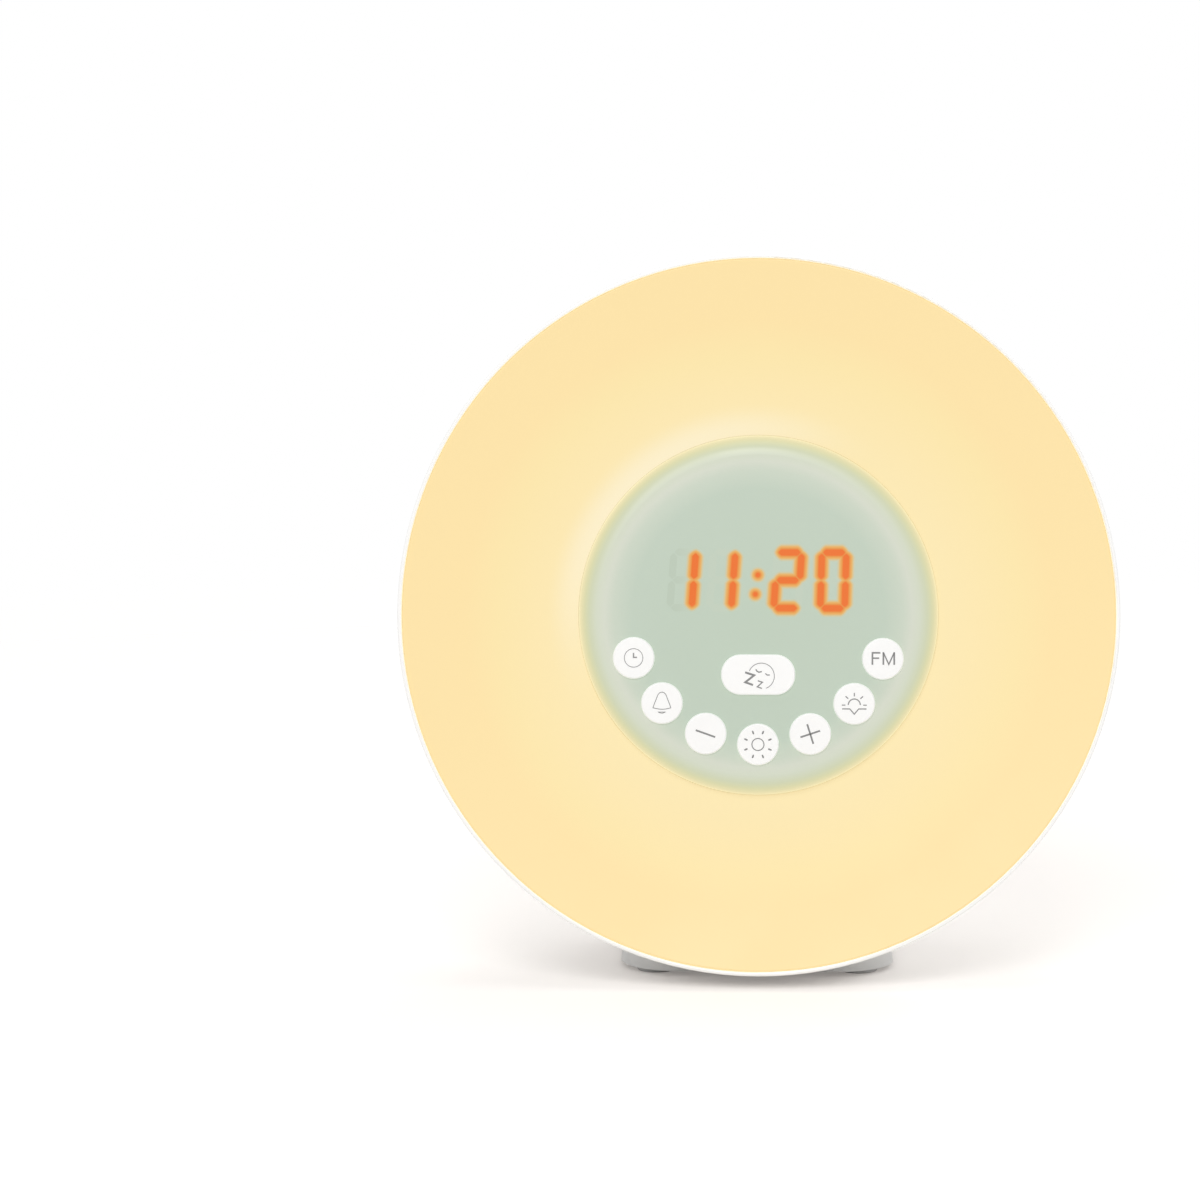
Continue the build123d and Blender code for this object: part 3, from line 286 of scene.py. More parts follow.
dots, dot_loss = ((-0.15, 9.55, 0), (-0.75, 4.95, 0)), 0.2
bar_light, asked, given = new_group("bar_light", {"Flat": "Vector"}, {"Reach": "Float"})
from_dots = [vectors(bar_light, "DISTANCE", asked["Flat"], dot) for dot in dots]
nearest = maths(bar_light, "ADD", maths(bar_light, "MINIMUM", *from_dots), dot_loss)
for start, end in lit_bars:
    one = use(bar_light, bar_reach, {"Place": asked["Flat"], "Start": start, "End": end})
    nearest = maths(bar_light, "MINIMUM", nearest, one["Reach"])
bar_light.links.new(nearest, given["Reach"])
halo_shades = [(0.9, 226, 143, 58), (1.3, 228, 168, 85), (1.7, 217, 187, 122)]
halo_reach, halo_plain, halo_shine = (2.3, 1.4), 0.25, 0.75


def from_bars(tree, place):
    """The distance from the nearest lit bar or dot, as its light counts it."""
    return use(tree, bar_light, {"Flat": place})["Reach"]


def spill(tree, place, plain, shine):
    """Lays the light round the lit bars over a finish's own colour and glow."""
    reach = from_bars(tree, place)
    warm = rings(tree, reach, halo_shades)
    halo = fade(tree, reach, *halo_reach)
    inputs = tree.nodes["Principled BSDF"].inputs
    tree.links.new(blend(tree, halo, plain, shade(tree, warm, halo_plain)), inputs["Base Color"])
    tree.links.new(blend(tree, halo, shine, shade(tree, warm, halo_shine)), inputs["Emission Color"])


# Going out from the middle, the panel's colours carry a painted highlight where the soft edge starts to
# round, and then the dish's warm light painted onto the edge.
panel_shades = [
    (0.0, 187, 202, 185), (30.0, 189, 203, 187), (34.5, 199, 209, 193), (36.6, 209, 214, 199),
    (38.5, 207, 213, 193), (40.2, 205, 210, 179), (41.3, 213, 213, 171), (42.9, 234, 222, 177),
]
edge_radii, edge_glow = (35.0, 39.5), (0.22, 0.85)
hole_depths, hole_radii, hole_glow = (-1.1, -1.5), (40.5, 38.5), 0.75
gap_depths, gap_painted_shade = (-5.5, -5.8), (0.0, 0.2)
panel_green = new_finish("panel_green", (0.6, 0.65, 0.6, 1), 0.38, 2600, 10, Emission_Strength=1.0)
tree = panel_green.node_tree
where = place_in(tree)
radius, depth = where["Radius"], where["Depth"]
green = rings(tree, radius, panel_shades)
# The panel has a faint painted glow all over that grows towards its soft edge, and the walls of the key holes
# a painted glow that lifts the shade in the gaps round the keys.
holes = maths(tree, "MULTIPLY", fade(tree, radius, *hole_radii), fade(tree, depth, *hole_depths))
edge = fade(tree, radius, *edge_radii, *edge_glow)
glow = maths(tree, "MAXIMUM", edge, maths(tree, "MULTIPLY", holes, hole_glow))
rest = maths(tree, "SUBTRACT", 1.0, glow)
# Deep in the gap between the panel and the dish the glow is cut back: a painted shade.
glow = maths(tree, "SUBTRACT", glow, fade(tree, depth, *gap_depths, *gap_painted_shade))
spill(tree, where["Flat"], shade(tree, green, rest), shade(tree, green, glow))
dress(panel_green, "control_panel")

# The display's bars are milky plastic, moulded through the panel in a second shot. Lamps in the
# display module light most of them orange, and the rest are only a shade darker than the panel.
hot_core, hot_edge = paint(236, 111, 22), paint(230, 140, 51)
core_reach, hot_plain = (0.58, 0.92), 0.22
bar_orange = new_finish("bar_orange", (0.8, 0.2, 0.03, 1), 0.3, 2600, 10, Emission_Strength=0.75)
tree = bar_orange.node_tree
shader = tree.nodes["Principled BSDF"]
soft = fade(tree, from_bars(tree, place_in(tree)["Flat"]), *core_reach)
hot = blend(tree, soft, hot_core, hot_edge)
tree.links.new(hot, shader.inputs["Emission Color"])
tree.links.new(shade(tree, hot, hot_plain), shader.inputs["Base Color"])
dress(bar_orange, "lit_segments")

left_ghost, other_ghost = paint(183, 197, 180), paint(190, 203, 186)
# Like the panel, the unlit bars have a faint painted glow all over, and the lit bars' light is painted round
# them.
first_figure, ghost_glow = (-20.5, -15.0), 0.22
bar_ghost = new_finish("bar_ghost", paint(192, 205, 187), 0.38, 2600, 10, Emission_Strength=1.0)
tree = bar_ghost.node_tree
where = place_in(tree)
across = add(tree, "ShaderNodeSeparateXYZ", {0: where["Place"]}).outputs["X"]
ghost = blend(tree, fade(tree, across, *first_figure), left_ghost, other_ghost)
spill(tree, where["Flat"], shade(tree, ghost, 1 - ghost_glow), shade(tree, ghost, ghost_glow))
dress(bar_ghost, "unlit_segments")

# Eight white keys stand in the panel, seven round ones in an arc and a long one for snooze. Each is
# one satin moulding, dropped in from behind, with a rim that keeps it in and a stem to its switch.
keys = ("clock", "alarm", "minus", "light", "plus", "sunrise", "radio", "snooze")
# The keys' sides have a painted glow that lifts the shade in the gap round each key, and their tops a very
# faint one.
top_glow, side_glow, side_depths = (0.02, 0.02, 0.02, 1), (0.25, 0.25, 0.245, 1), (-0.3, -0.75)
key_white = new_finish("key_white", (0.94, 0.94, 0.935, 1), 0.35, 2200, 10, Emission_Strength=1.0)
tree = key_white.node_tree
glow = blend(tree, fade(tree, place_in(tree)["Depth"], *side_depths), top_glow, side_glow)
tree.links.new(glow, tree.nodes["Principled BSDF"].inputs["Emission Color"])
dress(key_white, *[name + "_button" for name in keys])

# The signs on the keys are pad printed in grey ink, one coat thick: a clock face, a bell, less and
# more, a lamp, a sunrise, the radio's letters, and a sleeping face for snooze.
ink_top, ink_foot = 0.03, -0.02
sharpest = 0.35  # keeps the corner of a sharp turn from shooting out
sign_grey = new_finish("sign_grey", paint(134, 134, 134), 0.5, 4000, 5)


def stroke(mesh, points, width, closed):
    """A printed line through points (x, y) in millimetres, as a thin strip."""
    points = [Vector((x, y)) for x, y in points]
    count = len(points)
    rails = []
    for i, here in enumerate(points):
        runs = []
        if closed or i > 0:
            runs.append((here - points[i - 1]).normalized())
        if closed or i < count - 1:
            runs.append((points[(i + 1) % count] - here).normalized())
        sides = [Vector((-run.y, run.x)) for run in runs]
        middle = sum(sides, Vector((0, 0))).normalized()
        out = middle * (width / 2 / max(middle.dot(sides[0]), sharpest))
        left, right = here + out, here - out
        corners = ((left, ink_top), (right, ink_top), (right, ink_foot), (left, ink_foot))
        rails.append([mesh.verts.new((*spot, z)) for spot, z in corners])
    for i in range(count if closed else count - 1):
        one, two = rails[i], rails[(i + 1) % count]
        for k in range(4):
            mesh.faces.new((one[k], one[(k + 1) % 4], two[(k + 1) % 4], two[k]))
    if not closed:
        mesh.faces.new(rails[0][::-1])
        mesh.faces.new(rails[-1])


def arc(x, y, radius, start=0.0, turn=360.0, steps=64):
    """Points round a circle or part of one."""
    count = steps if turn == 360.0 else steps + 1
    angles = [math.radians(start + turn * i / steps) for i in range(count)]
    return [(x + radius * math.cos(angle), y + radius * math.sin(angle)) for angle in angles]


def dash(x, y, length, angle):
    """The two ends of a straight line about its middle."""
    dx, dy = length / 2 * math.cos(math.radians(angle)), length / 2 * math.sin(math.radians(angle))
    return [(x - dx, y - dy), (x + dx, y + dy)]


bell_side = [(2.12, -1.12), (1.78, -0.1), (1.5, 0.55), (1.24, 1.25), (0.95, 2.02), (0.52, 2.48)]
bell_foot = [(-1.4, -1.3), (-0.7, -1.42), (0, -1.46), (0.7, -1.42), (1.4, -1.3)]
bell = bell_side + [(0, 2.63)] + [(-x, y) for x, y in reversed(bell_side)] + bell_foot
signs = {  # each line's points, its width, and whether it closes
    "clock": [(arc(0, 0, 2.2), 0.16, True), ([(-0.03, 1.2), (-0.03, 0.13), (0.8, 0.13)], 0.31, False)],
    "alarm": [(bell, 0.17, True), (arc(-0.03, -1.02, 1.36, 234, 72, 12), 0.17, True)],
    "minus": [(dash(-0.05, 0, 4.9, -19.5), 0.42, False)],
    "plus": [(dash(0, 0, 4.9, 18.5), 0.42, False), (dash(0, 0, 4.9, 107.5), 0.42, False)],
    "light": [(arc(0, 0, 1.43), 0.24, True)],
    "sunrise": [
        (arc(0, -0.28, 1.43, 0, 180, 24), 0.27, False),
        ([(-2.9, -1.21), (-1.05, -1.21), (0, -2.45), (1.05, -1.21), (2.9, -1.21)], 0.26, False),
        (dash(0, 2.2, 0.85, 90), 0.26, False),
        (dash(-1.76, 1.5, 0.86, 138), 0.26, False), (dash(1.76, 1.5, 0.86, 42), 0.26, False),
        (dash(-2.55, -0.31, 0.85, 0), 0.25, False), (dash(2.55, -0.31, 0.85, 0), 0.25, False),
    ],
    "radio": [
        ([(-2.5, -1.42), (-2.5, 1.42), (-0.62, 1.42)], 0.4, False),
        ([(-2.3, 0.14), (-0.9, 0.14)], 0.36, False),
        ([(0.1, -1.42), (0.1, 1.58)], 0.4, False), ([(2.68, -1.42), (2.68, 1.58)], 0.4, False),
        ([(0.12, 1.45), (1.39, -1.32), (2.66, 1.45)], 0.31, False),
    ],
    "snooze": [
        (arc(0.75, -0.33, 3.1, -68.5, 225, 56), 0.17, False),
        ([(-0.57, 1.29), (-0.3, 0.86), (0.16, 0.58), (0.86, 0.76)], 0.3, False),
        ([(1.72, 0.3), (2.12, -0.06), (2.76, -0.05)], 0.26, False),
        ([(-3.1, 0.55), (-0.95, -0.13), (-3.05, -1.8), (-1.22, -2.44)], 0.48, False),
        ([(-0.1, -1.42), (1.02, -1.78), (-0.2, -2.88), (0.9, -3.26)], 0.28, False),
    ],
}


def new_grower(name, sizes):
    """A Geometry Nodes tree that asks for named sizes and a finish, and the sockets that give them."""
    tree = bpy.data.node_groups.new(name, "GeometryNodeTree")
    for label, size in sizes.items():
        kind = "NodeSocketInt" if isinstance(size, int) else "NodeSocketFloat"
        tree.interface.new_socket(label, in_out="INPUT", socket_type=kind).default_value = size
    tree.interface.new_socket("Finish", in_out="INPUT", socket_type="NodeSocketMaterial")
    tree.interface.new_socket("Geometry", in_out="OUTPUT", socket_type="NodeSocketGeometry")
    return tree, tree.nodes.new("NodeGroupInput").outputs


def set_out(tree, points, piece, finish, **turns):
    """Ends a tree: one piece at each point, made real and given its finish."""
    inputs = {"Points": points, "Instance": piece, **turns}
    placed = add(tree, "GeometryNodeInstanceOnPoints", inputs)
    real = add(tree, "GeometryNodeRealizeInstances", {0: placed.outputs[0]})
    done = add(tree, "GeometryNodeSetMaterial", {"Geometry": real.outputs[0], "Material": finish})
    tree.links.new(done.outputs[0], tree.nodes.new("NodeGroupOutput").inputs[0])


def grow(name, tree, values):
    """The plain mesh that a Geometry Nodes tree makes with its named inputs."""
    seed = bpy.data.objects.new(name, bpy.data.meshes.new(name + "_seed"))
    bpy.context.scene.collection.objects.link(seed)
    modifier = seed.modifiers.new(name, "NODES")
    modifier.node_group = tree
    for item in tree.interface.items_tree:
        if item.in_out == "INPUT" and item.name in values:
            modifier[item.identifier] = values[item.name]
    grown = bpy.data.meshes.new_from_object(seed.evaluated_get(bpy.context.evaluated_depsgraph_get()))
    bpy.data.objects.remove(seed)
    return grown


ray_sizes = {"Count": 8, "Ring": 3.08, "Length": 0.88, "Width": 0.4}
ray_taper, ray_bluntness = 0.55, 5.0
half_step = math.radians(180 / ray_sizes["Count"])  # no ray points straight up
sun_rays, asked = new_grower("sun_rays", ray_sizes)
ring = add(sun_rays, "GeometryNodeMeshCircle", {"Vertices": asked["Count"], "Radius": asked["Ring"]})
between = add(sun_rays, "GeometryNodeTransform", {
    "Geometry": ring.outputs[0], "Rotation": (0, 0, half_step),
})
coat = ink_top - ink_foot
size = add(sun_rays, "ShaderNodeCombineXYZ", {"X": asked["Length"], "Y": asked["Width"], "Z": coat})
ray = add(sun_rays, "GeometryNodeMeshCube", {"Size": size.outputs[0], "Vertices X": 7})
spot = add(sun_rays, "GeometryNodeInputPosition").outputs[0]
parts = add(sun_rays, "ShaderNodeSeparateXYZ", {0: spot}).outputs
half = maths(sun_rays, "MULTIPLY", asked["Length"], 0.5)
share = maths(sun_rays, "DIVIDE", maths(sun_rays, "ABSOLUTE", parts["X"]), half)
taper = maths(sun_rays, "MULTIPLY", maths(sun_rays, "POWER", share, ray_bluntness), ray_taper)
slim = maths(sun_rays, "MULTIPLY", parts["Y"], maths(sun_rays, "SUBTRACT", 1.0, taper))
round_end = add(sun_rays, "ShaderNodeCombineXYZ", {"X": parts["X"], "Y": slim, "Z": parts["Z"]})
rounded = add(sun_rays, "GeometryNodeSetPosition", {
    "Geometry": ray.outputs["Mesh"], "Position": round_end.outputs[0],
})
turn = add(sun_rays, "FunctionNodeAlignRotationToVector", {"Vector": spot}, axis="X", pivot_axis="Z")
set_out(sun_rays, between.outputs[0], rounded.outputs[0], asked["Finish"], Rotation=turn.outputs[0])

key_ring, key_ring_y, key_pitch, key_top, snooze_y = 31.7, 0.9, 23.1, -0.2, -14.2
on_face = face @ Matrix.Scale(millimetre, 4)
for name, lines in signs.items():
    mesh = bmesh.new()
    for points, width, closed in lines:
        stroke(mesh, points, width, closed)
    if name == "light":
        mesh.from_mesh(grow("light_rays", sun_rays, {"Finish": sign_grey}))
    angle = math.radians((keys.index(name) - keys.index("light")) * key_pitch)
    x, y = key_ring * math.sin(angle), key_ring_y - key_ring * math.cos(angle)
    if name == "snooze":
        x, y = 0, snooze_y
    bmesh.ops.recalc_face_normals(mesh, faces=mesh.faces)
    mesh.transform(on_face @ Matrix.Translation((x, y, key_top)))
    data = bpy.data.meshes.new(name + "_sign")
    mesh.to_mesh(data)
    mesh.free()
    data.materials.append(sign_grey)
    sign = bpy.data.objects.new(name + "_sign", data)
    bpy.context.scene.collection.objects.link(sign)
    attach(sign, name + "_key")

# Behind the panel the display module is a pale grey case with its lamps in it, soldered to the main
# board. A frame of black foam between it and the panel keeps its light from spreading.
case_grey = new_finish("case_grey", (0.72, 0.72, 0.69, 1), 0.45, 2600, 10)
dress(case_grey, "display_module")
black_foam = new_finish("black_foam", (0.02, 0.02, 0.02, 1), 0.9, 5000, 100)
dress(black_foam, "display_gasket")


# Under each key is a push switch: a black body with a folded tin cover, and a moving black plunger
# in it with a click dome under it.
def mix(tree, share, first, second):
    """A mix of two numbers."""
    node = add(tree, "ShaderNodeMix", data_type="FLOAT")
    for socket, value in zip((node.inputs[0], node.inputs[2], node.inputs[3]), (share, first, second)):
        join(tree, value, socket)
    return node.outputs[0]


def overlay(finish, mask, colour, roughness=None, metal=None):
    """Lays a second colour, gloss and metal over a finish, where a mask is one."""
    tree = finish.node_tree
    shader = tree.nodes["Principled BSDF"]
    layers = (("Base Color", colour, blend), ("Roughness", roughness, mix), ("Metallic", metal, mix))
    for label, value, mixer in layers:
        if value is not None:
            socket = shader.inputs[label]
            below = socket.links[0].from_socket if socket.links else socket.default_value
            tree.links.new(mixer(tree, mask, below, value), socket)


cover_depths = (-7.85, -7.8)
switch_black = new_finish("switch_black", (0.025, 0.025, 0.027, 1), 0.4, 4000, 10)
tree = switch_black.node_tree
cover = fade(tree, place_in(tree)["Depth"], *cover_depths)
overlay(switch_black, cover, (0.68, 0.68, 0.66, 1), 0.28, 1.0)
dress(switch_black, "switch_bodies")
plunger_black = new_finish("plunger_black", (0.07, 0.07, 0.072, 1), 0.45, 4000, 10)
dress(plunger_black, *[name + "_plunger" for name in keys])

# The main board is glass laminate under green lacquer, with its copper tracks just showing through.
# It hangs from four posts of the panel by small zinc screws.
board_skin, asked, given = new_group("board_skin", {"Fineness": "Float"}, skin_gives)
flat = place_in(board_skin)["Flat"]
tracks = add(board_skin, "ShaderNodeTexBrick", {
    "Vector": flat, "Scale": asked["Fineness"], "Mortar Size": 0.012, "Mortar Smooth": 0.1,
    "Brick Width": 1.7, "Row Height": 0.28,
}, offset=0.37, squash=0.6, squash_frequency=3)
weave = add(board_skin, "ShaderNodeTexNoise", {"Vector": flat, "Scale": 2.2, "Detail": 2.0})
soft = maths(board_skin, "MULTIPLY", weave.outputs[0], 0.25)
board_skin.links.new(maths(board_skin, "ADD", tracks.outputs["Fac"], soft), given["Height"])
board_skin.links.new(tracks.outputs["Fac"], given["Cloud"])
green = (0.045, 0.27, 0.1, 1)
board_green = new_finish("board_green", green, 0.3, 0.22, 30, board_skin, 0.5, Coat_Weight=0.4)
dress(board_green, "main_board")

# Bare metal is drawn or rolled: it has fine lines one way, and a faint tarnish.
bright_metal, asked, given = new_group("bright_metal", {"Fineness": "Float"}, skin_gives)
spot = add(bright_metal, "ShaderNodeTexCoord").outputs["Object"]
drawn = add(bright_metal, "ShaderNodeMapping", {"Vector": spot, "Scale": (1.0, 1.0, 0.12)})
lines = add(bright_metal, "ShaderNodeTexNoise", {
    "Vector": drawn.outputs[0], "Scale": asked["Fineness"], "Detail": 4.0,
})
tarnish = add(bright_metal, "ShaderNodeTexNoise", {"Vector": spot, "Scale": 260.0, "Detail": 3.0})
bright_metal.links.new(lines.outputs[0], given["Height"])
bright_metal.links.new(tarnish.outputs[0], given["Cloud"])
zinc = new_finish("zinc", (0.66, 0.66, 0.65, 1), 0.32, 1600, 10, bright_metal, 0.82, Metallic=1.0)
dress(zinc, "board_screws")

# The controller chip is black resin, moulded over its frame of tinned legs. A dimple in its top
# marks the first leg.
chip_y, leg_start, first_leg, dimple_edge = 4.0, (3.75, 3.78), (-6.6, 6.3, 0), (0.75, 0.6)
chip_black = new_finish("chip_black", (0.022, 0.022, 0.024, 1), 0.5, 5000, 10)
tree = chip_black.node_tree
where = place_in(tree)
upward = add(tree, "ShaderNodeSeparateXYZ", {0: where["Place"]}).outputs["Y"]
from_middle = maths(tree, "ABSOLUTE", maths(tree, "SUBTRACT", upward, chip_y))
overlay(chip_black, fade(tree, from_middle, *leg_start), (0.75, 0.74, 0.71, 1), 0.25, 1.0)
dimple = fade(tree, vectors(tree, "DISTANCE", where["Flat"], first_leg), *dimple_edge)
overlay(chip_black, dimple, (0.05, 0.05, 0.052, 1), 0.3)
dress(chip_black, "controller_chip")

# The clock crystal lies on the board in a drawn tin can, and the radio receiver is a small board of
# its own, under a shield can of tinned sheet.
tin_colour, small_board_depths = (0.74, 0.73, 0.7, 1), (-13.45, -13.4)
tin = new_finish("tin", tin_colour, 0.22, 1400, 10, bright_metal, 0.88, Metallic=1.0)
dress(tin, "clock_crystal")
shield = new_finish("shield", tin_colour, 0.24, 1400, 10, bright_metal, 0.88, Metallic=1.0)
small_board = fade(shield.node_tree, place_in(shield.node_tree)["Depth"], *small_board_depths)
overlay(shield, small_board, (0.03, 0.2, 0.08, 1), 0.35, 0.0)
dress(shield, "radio_module")

# The capacitors are drawn aluminium cans in a dark sleeve, which is shrunk round all but the top. A
# pale stripe on the sleeve marks the minus leg.
cans = ((16.0, 12.0), (22.5, 12.0), (16.0, 4.5))
stripe_off, stripe_edge, sleeve_end = 2.5, (1.1, 1.0), (-19.25, -19.35)
capacitor_sleeve = new_finish("capacitor_sleeve", (0.03, 0.04, 0.07, 1), 0.3, 2000, 10)
tree = capacitor_sleeve.node_tree
where = place_in(tree)
nearest = None
for x, y in cans:
    reach = vectors(tree, "DISTANCE", where["Flat"], (x, y - stripe_off, 0))
    nearest = reach if nearest is None else maths(tree, "MINIMUM", nearest, reach)
overlay(capacitor_sleeve, fade(tree, nearest, *stripe_edge), (0.6, 0.62, 0.64, 1))
can_top = fade(tree, where["Depth"], *sleeve_end)
overlay(capacitor_sleeve, can_top, (0.76, 0.76, 0.77, 1), 0.28, 1.0)
dress(capacitor_sleeve, "capacitors")

# Four plug sockets, moulded in natural nylon and soldered to the back of the board, take the plugs
# of the leads.
nylon = new_finish("nylon", (0.84, 0.82, 0.75, 1), 0.42, 1500, 10, Subsurface_Weight=0.1)
dress(nylon, "connectors")

# The light dish is a milky moulding with a satin face, lit from behind by the ring of lamps. It is a
# touch deeper in colour towards its edge. A painted highlight lies beside the panel at the upper left.
dish_shades = [(43.0, 253, 234, 181), (52.0, 254, 233, 177), (62.0, 254, 232, 172), (70.0, 255, 229, 169)]
painted_highlight, highlight_way = paint(254, 241, 205), (-0.65, 0.76, 0)
highlight_reach, highlight_radii = (8.0, 46.0), (51.0, 43.5)
wall_radii, wall_depths, wall_painted_shade = (43.4, 43.1), (-5.6, -5.9), 0.165
rim_radii, rim_depths, rim_painted_shade = (84.7, 84.85), (-0.82, -1.0), 0.06
dish_glow, dish_plain = 0.663, 0.28
milky_dish = new_finish("milky_dish", (0.8, 0.8, 0.8, 1), 0.42, 2200, 12, Emission_Strength=1.0)
tree = milky_dish.node_tree
shader = tree.nodes["Principled BSDF"]
where = place_in(tree)
radius, depth = where["Radius"], where["Depth"]
upper_left = fade(tree, vectors(tree, "DOT_PRODUCT", where["Flat"], highlight_way), *highlight_reach)
pale = maths(tree, "MULTIPLY", upper_left, fade(tree, radius, *highlight_radii))
glow = blend(tree, pale, rings(tree, radius, dish_shades), painted_highlight)
# The dish's glow is cut back on the wall of its collar beside the panel and at its outer edge by the trim: a
# painted shade in those gaps.
wall = maths(tree, "MULTIPLY", fade(tree, radius, *wall_radii), fade(tree, depth, *wall_depths))
rim = maths(tree, "MULTIPLY", fade(tree, radius, *rim_radii), fade(tree, depth, *rim_depths))
painted_shades = [maths(tree, "MULTIPLY", wall, wall_painted_shade), maths(tree, "MULTIPLY", rim, rim_painted_shade)]
bright = maths(tree, "SUBTRACT", dish_glow, maths(tree, "ADD", *painted_shades))
tree.links.new(shade(tree, glow, dish_plain), shader.inputs["Base Color"])
tree.links.new(shade(tree, glow, bright), shader.inputs["Emission Color"])
dress(milky_dish, "diffuser")

# The trim ring is a glossy white moulding that frames the dish. It has a faint painted glow all over,
# and the dish's light on the inside of its lip is a warm painted glow.
bore_radii, lip_depths = (85.25, 85.0), (-3.0, -2.0)
rim_paint, rim_glow, lip_glow = (0.92, 0.916, 0.907, 1), (0.05, 0.05, 0.047, 1), paint(255, 236, 190, 0.28)
rim_white = new_finish("rim_white", rim_paint, 0.2, 900, 4, Emission_Strength=1.0, Coat_Weight=0.3)
tree = rim_white.node_tree
where = place_in(tree)
bore = fade(tree, where["Radius"], *bore_radii)
lip = maths(tree, "MULTIPLY", bore, fade(tree, where["Depth"], *lip_depths))
tree.links.new(blend(tree, lip, rim_glow, lip_glow), tree.nodes["Principled BSDF"].inputs["Emission Color"])
dress(rim_white, "trim_ring")

# The reflector is a glossy white tray behind the dish, screwed to the dish's collar from behind. It
# throws the lamps' light forward and evens it out.
gloss_white = new_finish("gloss_white", (0.93, 0.928, 0.92, 1), 0.2, 900, 4, Coat_Weight=0.3)
dress(gloss_white, "reflector")
dress(zinc, "dish_screws")

# The ring of lights is laminate under white lacquer, held in the reflector by three screws. It has
# white lamps near its outer edge, for waking, and coloured ones near its inner edge.
lacquer = (0.88, 0.88, 0.86, 1)
board_white = new_finish("board_white", lacquer, 0.3, 0.2, 20, board_skin, 0.94, Coat_Weight=0.3)
dress(board_white, "light_board")
dress(zinc, "light_screws")

lamp_cup, asked, given = new_group(
    "lamp_cup", {"Count": "Float", "Ring": "Float", "Cup": "Float"}, {"Mask": "Float", "Reach": "Float"}
)
where = place_in(lamp_cup)
split = add(lamp_cup, "ShaderNodeSeparateXYZ", {0: where["Flat"]}).outputs
turn = maths(lamp_cup, "DIVIDE", maths(lamp_cup, "ARCTAN2", split["Y"], split["X"]), math.tau)
steps = maths(lamp_cup, "MULTIPLY", maths(lamp_cup, "ADD", turn, 1.0), asked["Count"])
part = maths(lamp_cup, "FRACT", steps)
angle = maths(lamp_cup, "MULTIPLY", maths(lamp_cup, "SUBTRACT", part, 0.5), math.tau)
sideways = maths(lamp_cup, "MULTIPLY", maths(lamp_cup, "DIVIDE", angle, asked["Count"]), where["Radius"])
outwards = maths(lamp_cup, "SUBTRACT", where["Radius"], asked["Ring"])
off = add(lamp_cup, "ShaderNodeCombineXYZ", {"X": sideways, "Y": outwards}).outputs[0]
reach = vectors(lamp_cup, "LENGTH", off)
lamp_cup.links.new(maths(lamp_cup, "LESS_THAN", reach, asked["Cup"]), given["Mask"])
lamp_cup.links.new(reach, given["Reach"])

phosphor, clear_resin = (0.93, 0.72, 0.16, 1), (0.62, 0.62, 0.6, 1)
lamp_chip, chip_edge = (0.25, 0.22, 0.16, 1), (0.55, 0.5)
lamp_white = new_finish("lamp_white", (0.88, 0.88, 0.85, 1), 0.35, 3000, 10)
cups = use(lamp_white.node_tree, lamp_cup, {"Count": 24.0, "Ring": 54.85, "Cup": 1.1})
overlay(lamp_white, cups["Mask"], phosphor, 0.25)
dress(lamp_white, "white_leds")
lamp_clear = new_finish("lamp_clear", (0.88, 0.88, 0.86, 1), 0.35, 3000, 10)
cups = use(lamp_clear.node_tree, lamp_cup, {"Count": 12.0, "Ring": 50.35, "Cup": 1.95})
overlay(lamp_clear, cups["Mask"], clear_resin, 0.12)
overlay(lamp_clear, fade(lamp_clear.node_tree, cups["Reach"], *chip_edge), lamp_chip, 0.2)
dress(lamp_clear, "colour_leds")

# The rear shell is one white moulding: a shallow cone with a hub behind it, pierced for the speaker
# and screwed to the reflector by six long screws in wells. An etched mould gives it a fine dull skin.
etched_white = new_finish("etched_white", (0.86, 0.857, 0.845, 1), 0.5, 2600, 40)
dress(etched_white, "rear_shell")
dress(zinc, "case_screws")

# The speaker is a pressed steel basket with a ferrite magnet, clamped against a foam ring inside the
# hub by three wide-headed screws. Its paper cone shows through the holes of the hub.
cone_middle, cone_edge, cap_edge = (0, 16.55, 0), (14.2, 14.5), (4.1, 4.0)
dress(black_foam, "speaker_gasket")
steel = (0.5, 0.5, 0.5, 1)
pressed_steel = new_finish("pressed_steel", steel, 0.35, 900, 20, bright_metal, 0.85, Metallic=1.0)
dress(pressed_steel, "speaker_frame")
dress(zinc, "speaker_screws")
ferrite = new_finish("ferrite", (0.06, 0.06, 0.062, 1), 0.6, 2500, 30)
dress(ferrite, "speaker_magnet")
cone_paper = new_finish("cone_paper", (0.05, 0.048, 0.045, 1), 0.85, 2500, 80)
tree = cone_paper.node_tree
reach = vectors(tree, "DISTANCE", place_in(tree)["Flat"], cone_middle)
overlay(cone_paper, fade(tree, reach, *cone_edge), (0.02, 0.02, 0.02, 1), 0.45)
overlay(cone_paper, fade(tree, reach, *cap_edge), (0.03, 0.03, 0.032, 1), 0.3)
dress(cone_paper, "speaker_cone")

# The power socket is a black moulding with a nickelled centre pin, held by ribs behind the hub's
# wall. The aerial wire comes out through a grey rubber grommet on the other side.
socket_black = new_finish("socket_black", (0.025, 0.025, 0.027, 1), 0.42, 2600, 20)
dress(socket_black, "power_socket")
nickel = new_finish("nickel", (0.74, 0.72, 0.68, 1), 0.18, 1800, 6, bright_metal, 0.92, Metallic=1.0)
dress(nickel, "power_pin")
grey_rubber = new_finish("grey_rubber", (0.3, 0.3, 0.3, 1), 0.7, 2500, 30)
dress(grey_rubber, "aerial_grommet")

# Pairs of leads in soft red covers run from the board's plug sockets to the lights, the speaker, the
# power socket and the cells.
lead_red = new_finish("lead_red", (0.38, 0.035, 0.028, 1), 0.4, 1500, 10, Coat_Weight=0.15)
dress(lead_red, "light_leads", "speaker_leads", "power_leads", "cell_leads")

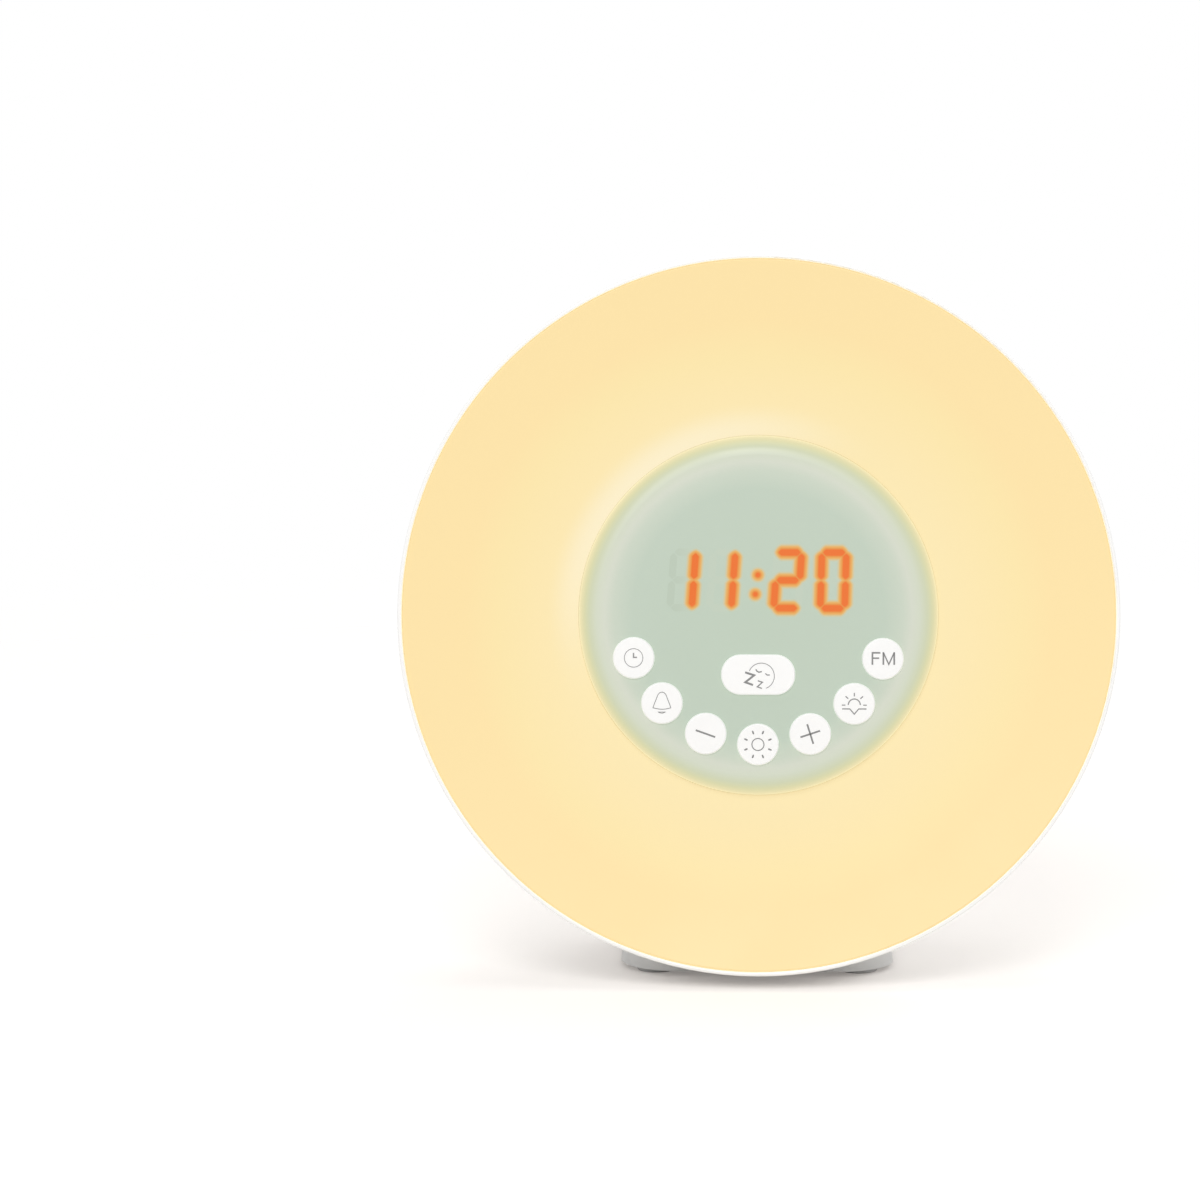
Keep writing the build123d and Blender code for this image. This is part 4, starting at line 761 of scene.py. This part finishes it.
# Two small cells keep the time through a power cut. Each is a steel can in a blue jacket with a pale
# band at its button end, between nickelled plates and coil springs. They lie head to tail.
cells_y, cell_shift, band_start, jacket_end = -18.0, 2.45, (11.9, 12.0), (21.15, 21.25)
dress(nickel, "cell_plates", "cell_springs")
jacket = new_finish("jacket", (0.05, 0.14, 0.3, 1), 0.28, 1500, 10, Coat_Weight=0.4)
tree = jacket.node_tree
split = add(tree, "ShaderNodeSeparateXYZ", {0: place_in(tree)["Place"]}).outputs
upper = maths(tree, "GREATER_THAN", split["Y"], cells_y)
way = maths(tree, "SUBTRACT", maths(tree, "MULTIPLY", upper, 2.0), 1.0)
along = maths(tree, "SUBTRACT", maths(tree, "MULTIPLY", split["X"], way), cell_shift)
overlay(jacket, fade(tree, along, *band_start), (0.78, 0.78, 0.76, 1))
bare_ends = [fade(tree, along, *(side * end for end in jacket_end)) for side in (1, -1)]
overlay(jacket, maths(tree, "MAXIMUM", *bare_ends), (0.7, 0.69, 0.66, 1), 0.25, 1.0)
dress(jacket, "backup_cells")

# The door of the cell bay swings on two stub pins at its lower edge and snaps shut with a tongue.
# It is moulded like the shell, and five low ribs under its finger hollow give the thumb a hold.
dress(etched_white, "cell_door")
rib_sizes = {"Count": 5, "Pitch": 1.7, "Length": 15.0, "Width": 0.8, "Proud": 0.32}
ribs_place = (0, -12.6, -71.0)
grip_ribs, asked = new_grower("grip_ribs", rib_sizes)
step = add(grip_ribs, "ShaderNodeCombineXYZ", {"Y": maths(grip_ribs, "MULTIPLY", asked["Pitch"], -1.0)})
row = add(grip_ribs, "GeometryNodeMeshLine", {"Count": asked["Count"], "Offset": step.outputs[0]})
ball = add(grip_ribs, "GeometryNodeMeshUVSphere", {"Segments": 24, "Rings": 12, "Radius": 1.0})
spot = add(grip_ribs, "GeometryNodeInputPosition").outputs[0]
parts = add(grip_ribs, "ShaderNodeSeparateXYZ", {0: spot}).outputs
half = maths(grip_ribs, "MULTIPLY", asked["Width"], 0.5)
straight = maths(grip_ribs, "SUBTRACT", maths(grip_ribs, "MULTIPLY", asked["Length"], 0.5), half)
pushed = maths(grip_ribs, "MULTIPLY", maths(grip_ribs, "SIGN", parts["X"]), straight)
drawn_out = add(grip_ribs, "ShaderNodeCombineXYZ", {
    "X": maths(grip_ribs, "ADD", maths(grip_ribs, "MULTIPLY", parts["X"], half), pushed),
    "Y": maths(grip_ribs, "MULTIPLY", parts["Y"], half),
    "Z": maths(grip_ribs, "MULTIPLY", parts["Z"], asked["Proud"]),
})
rib = add(grip_ribs, "GeometryNodeSetPosition", {
    "Geometry": ball.outputs["Mesh"], "Position": drawn_out.outputs[0],
})
set_out(grip_ribs, row.outputs[0], rib.outputs[0], asked["Finish"])
ribs = bpy.data.objects.new("door_ribs", grow("door_ribs", grip_ribs, {"Finish": etched_white}))
ribs.data.transform(on_face @ Matrix.Translation(ribs_place))
ribs.data.shade_smooth()
bpy.context.scene.collection.objects.link(ribs)
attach(ribs, "cell_hatch")

# The foot is moulded like the shell and takes the hub between its walls. Two long screws hold it from
# below, deep in its wells, and four round pads of pale grey rubber are pushed into its underside.
dress(etched_white, "foot")
dress(zinc, "foot_screws")
pale_rubber = new_finish("pale_rubber", (0.68, 0.67, 0.66, 1), 0.7, 2500, 40)
dress(pale_rubber, "rubber_pads")
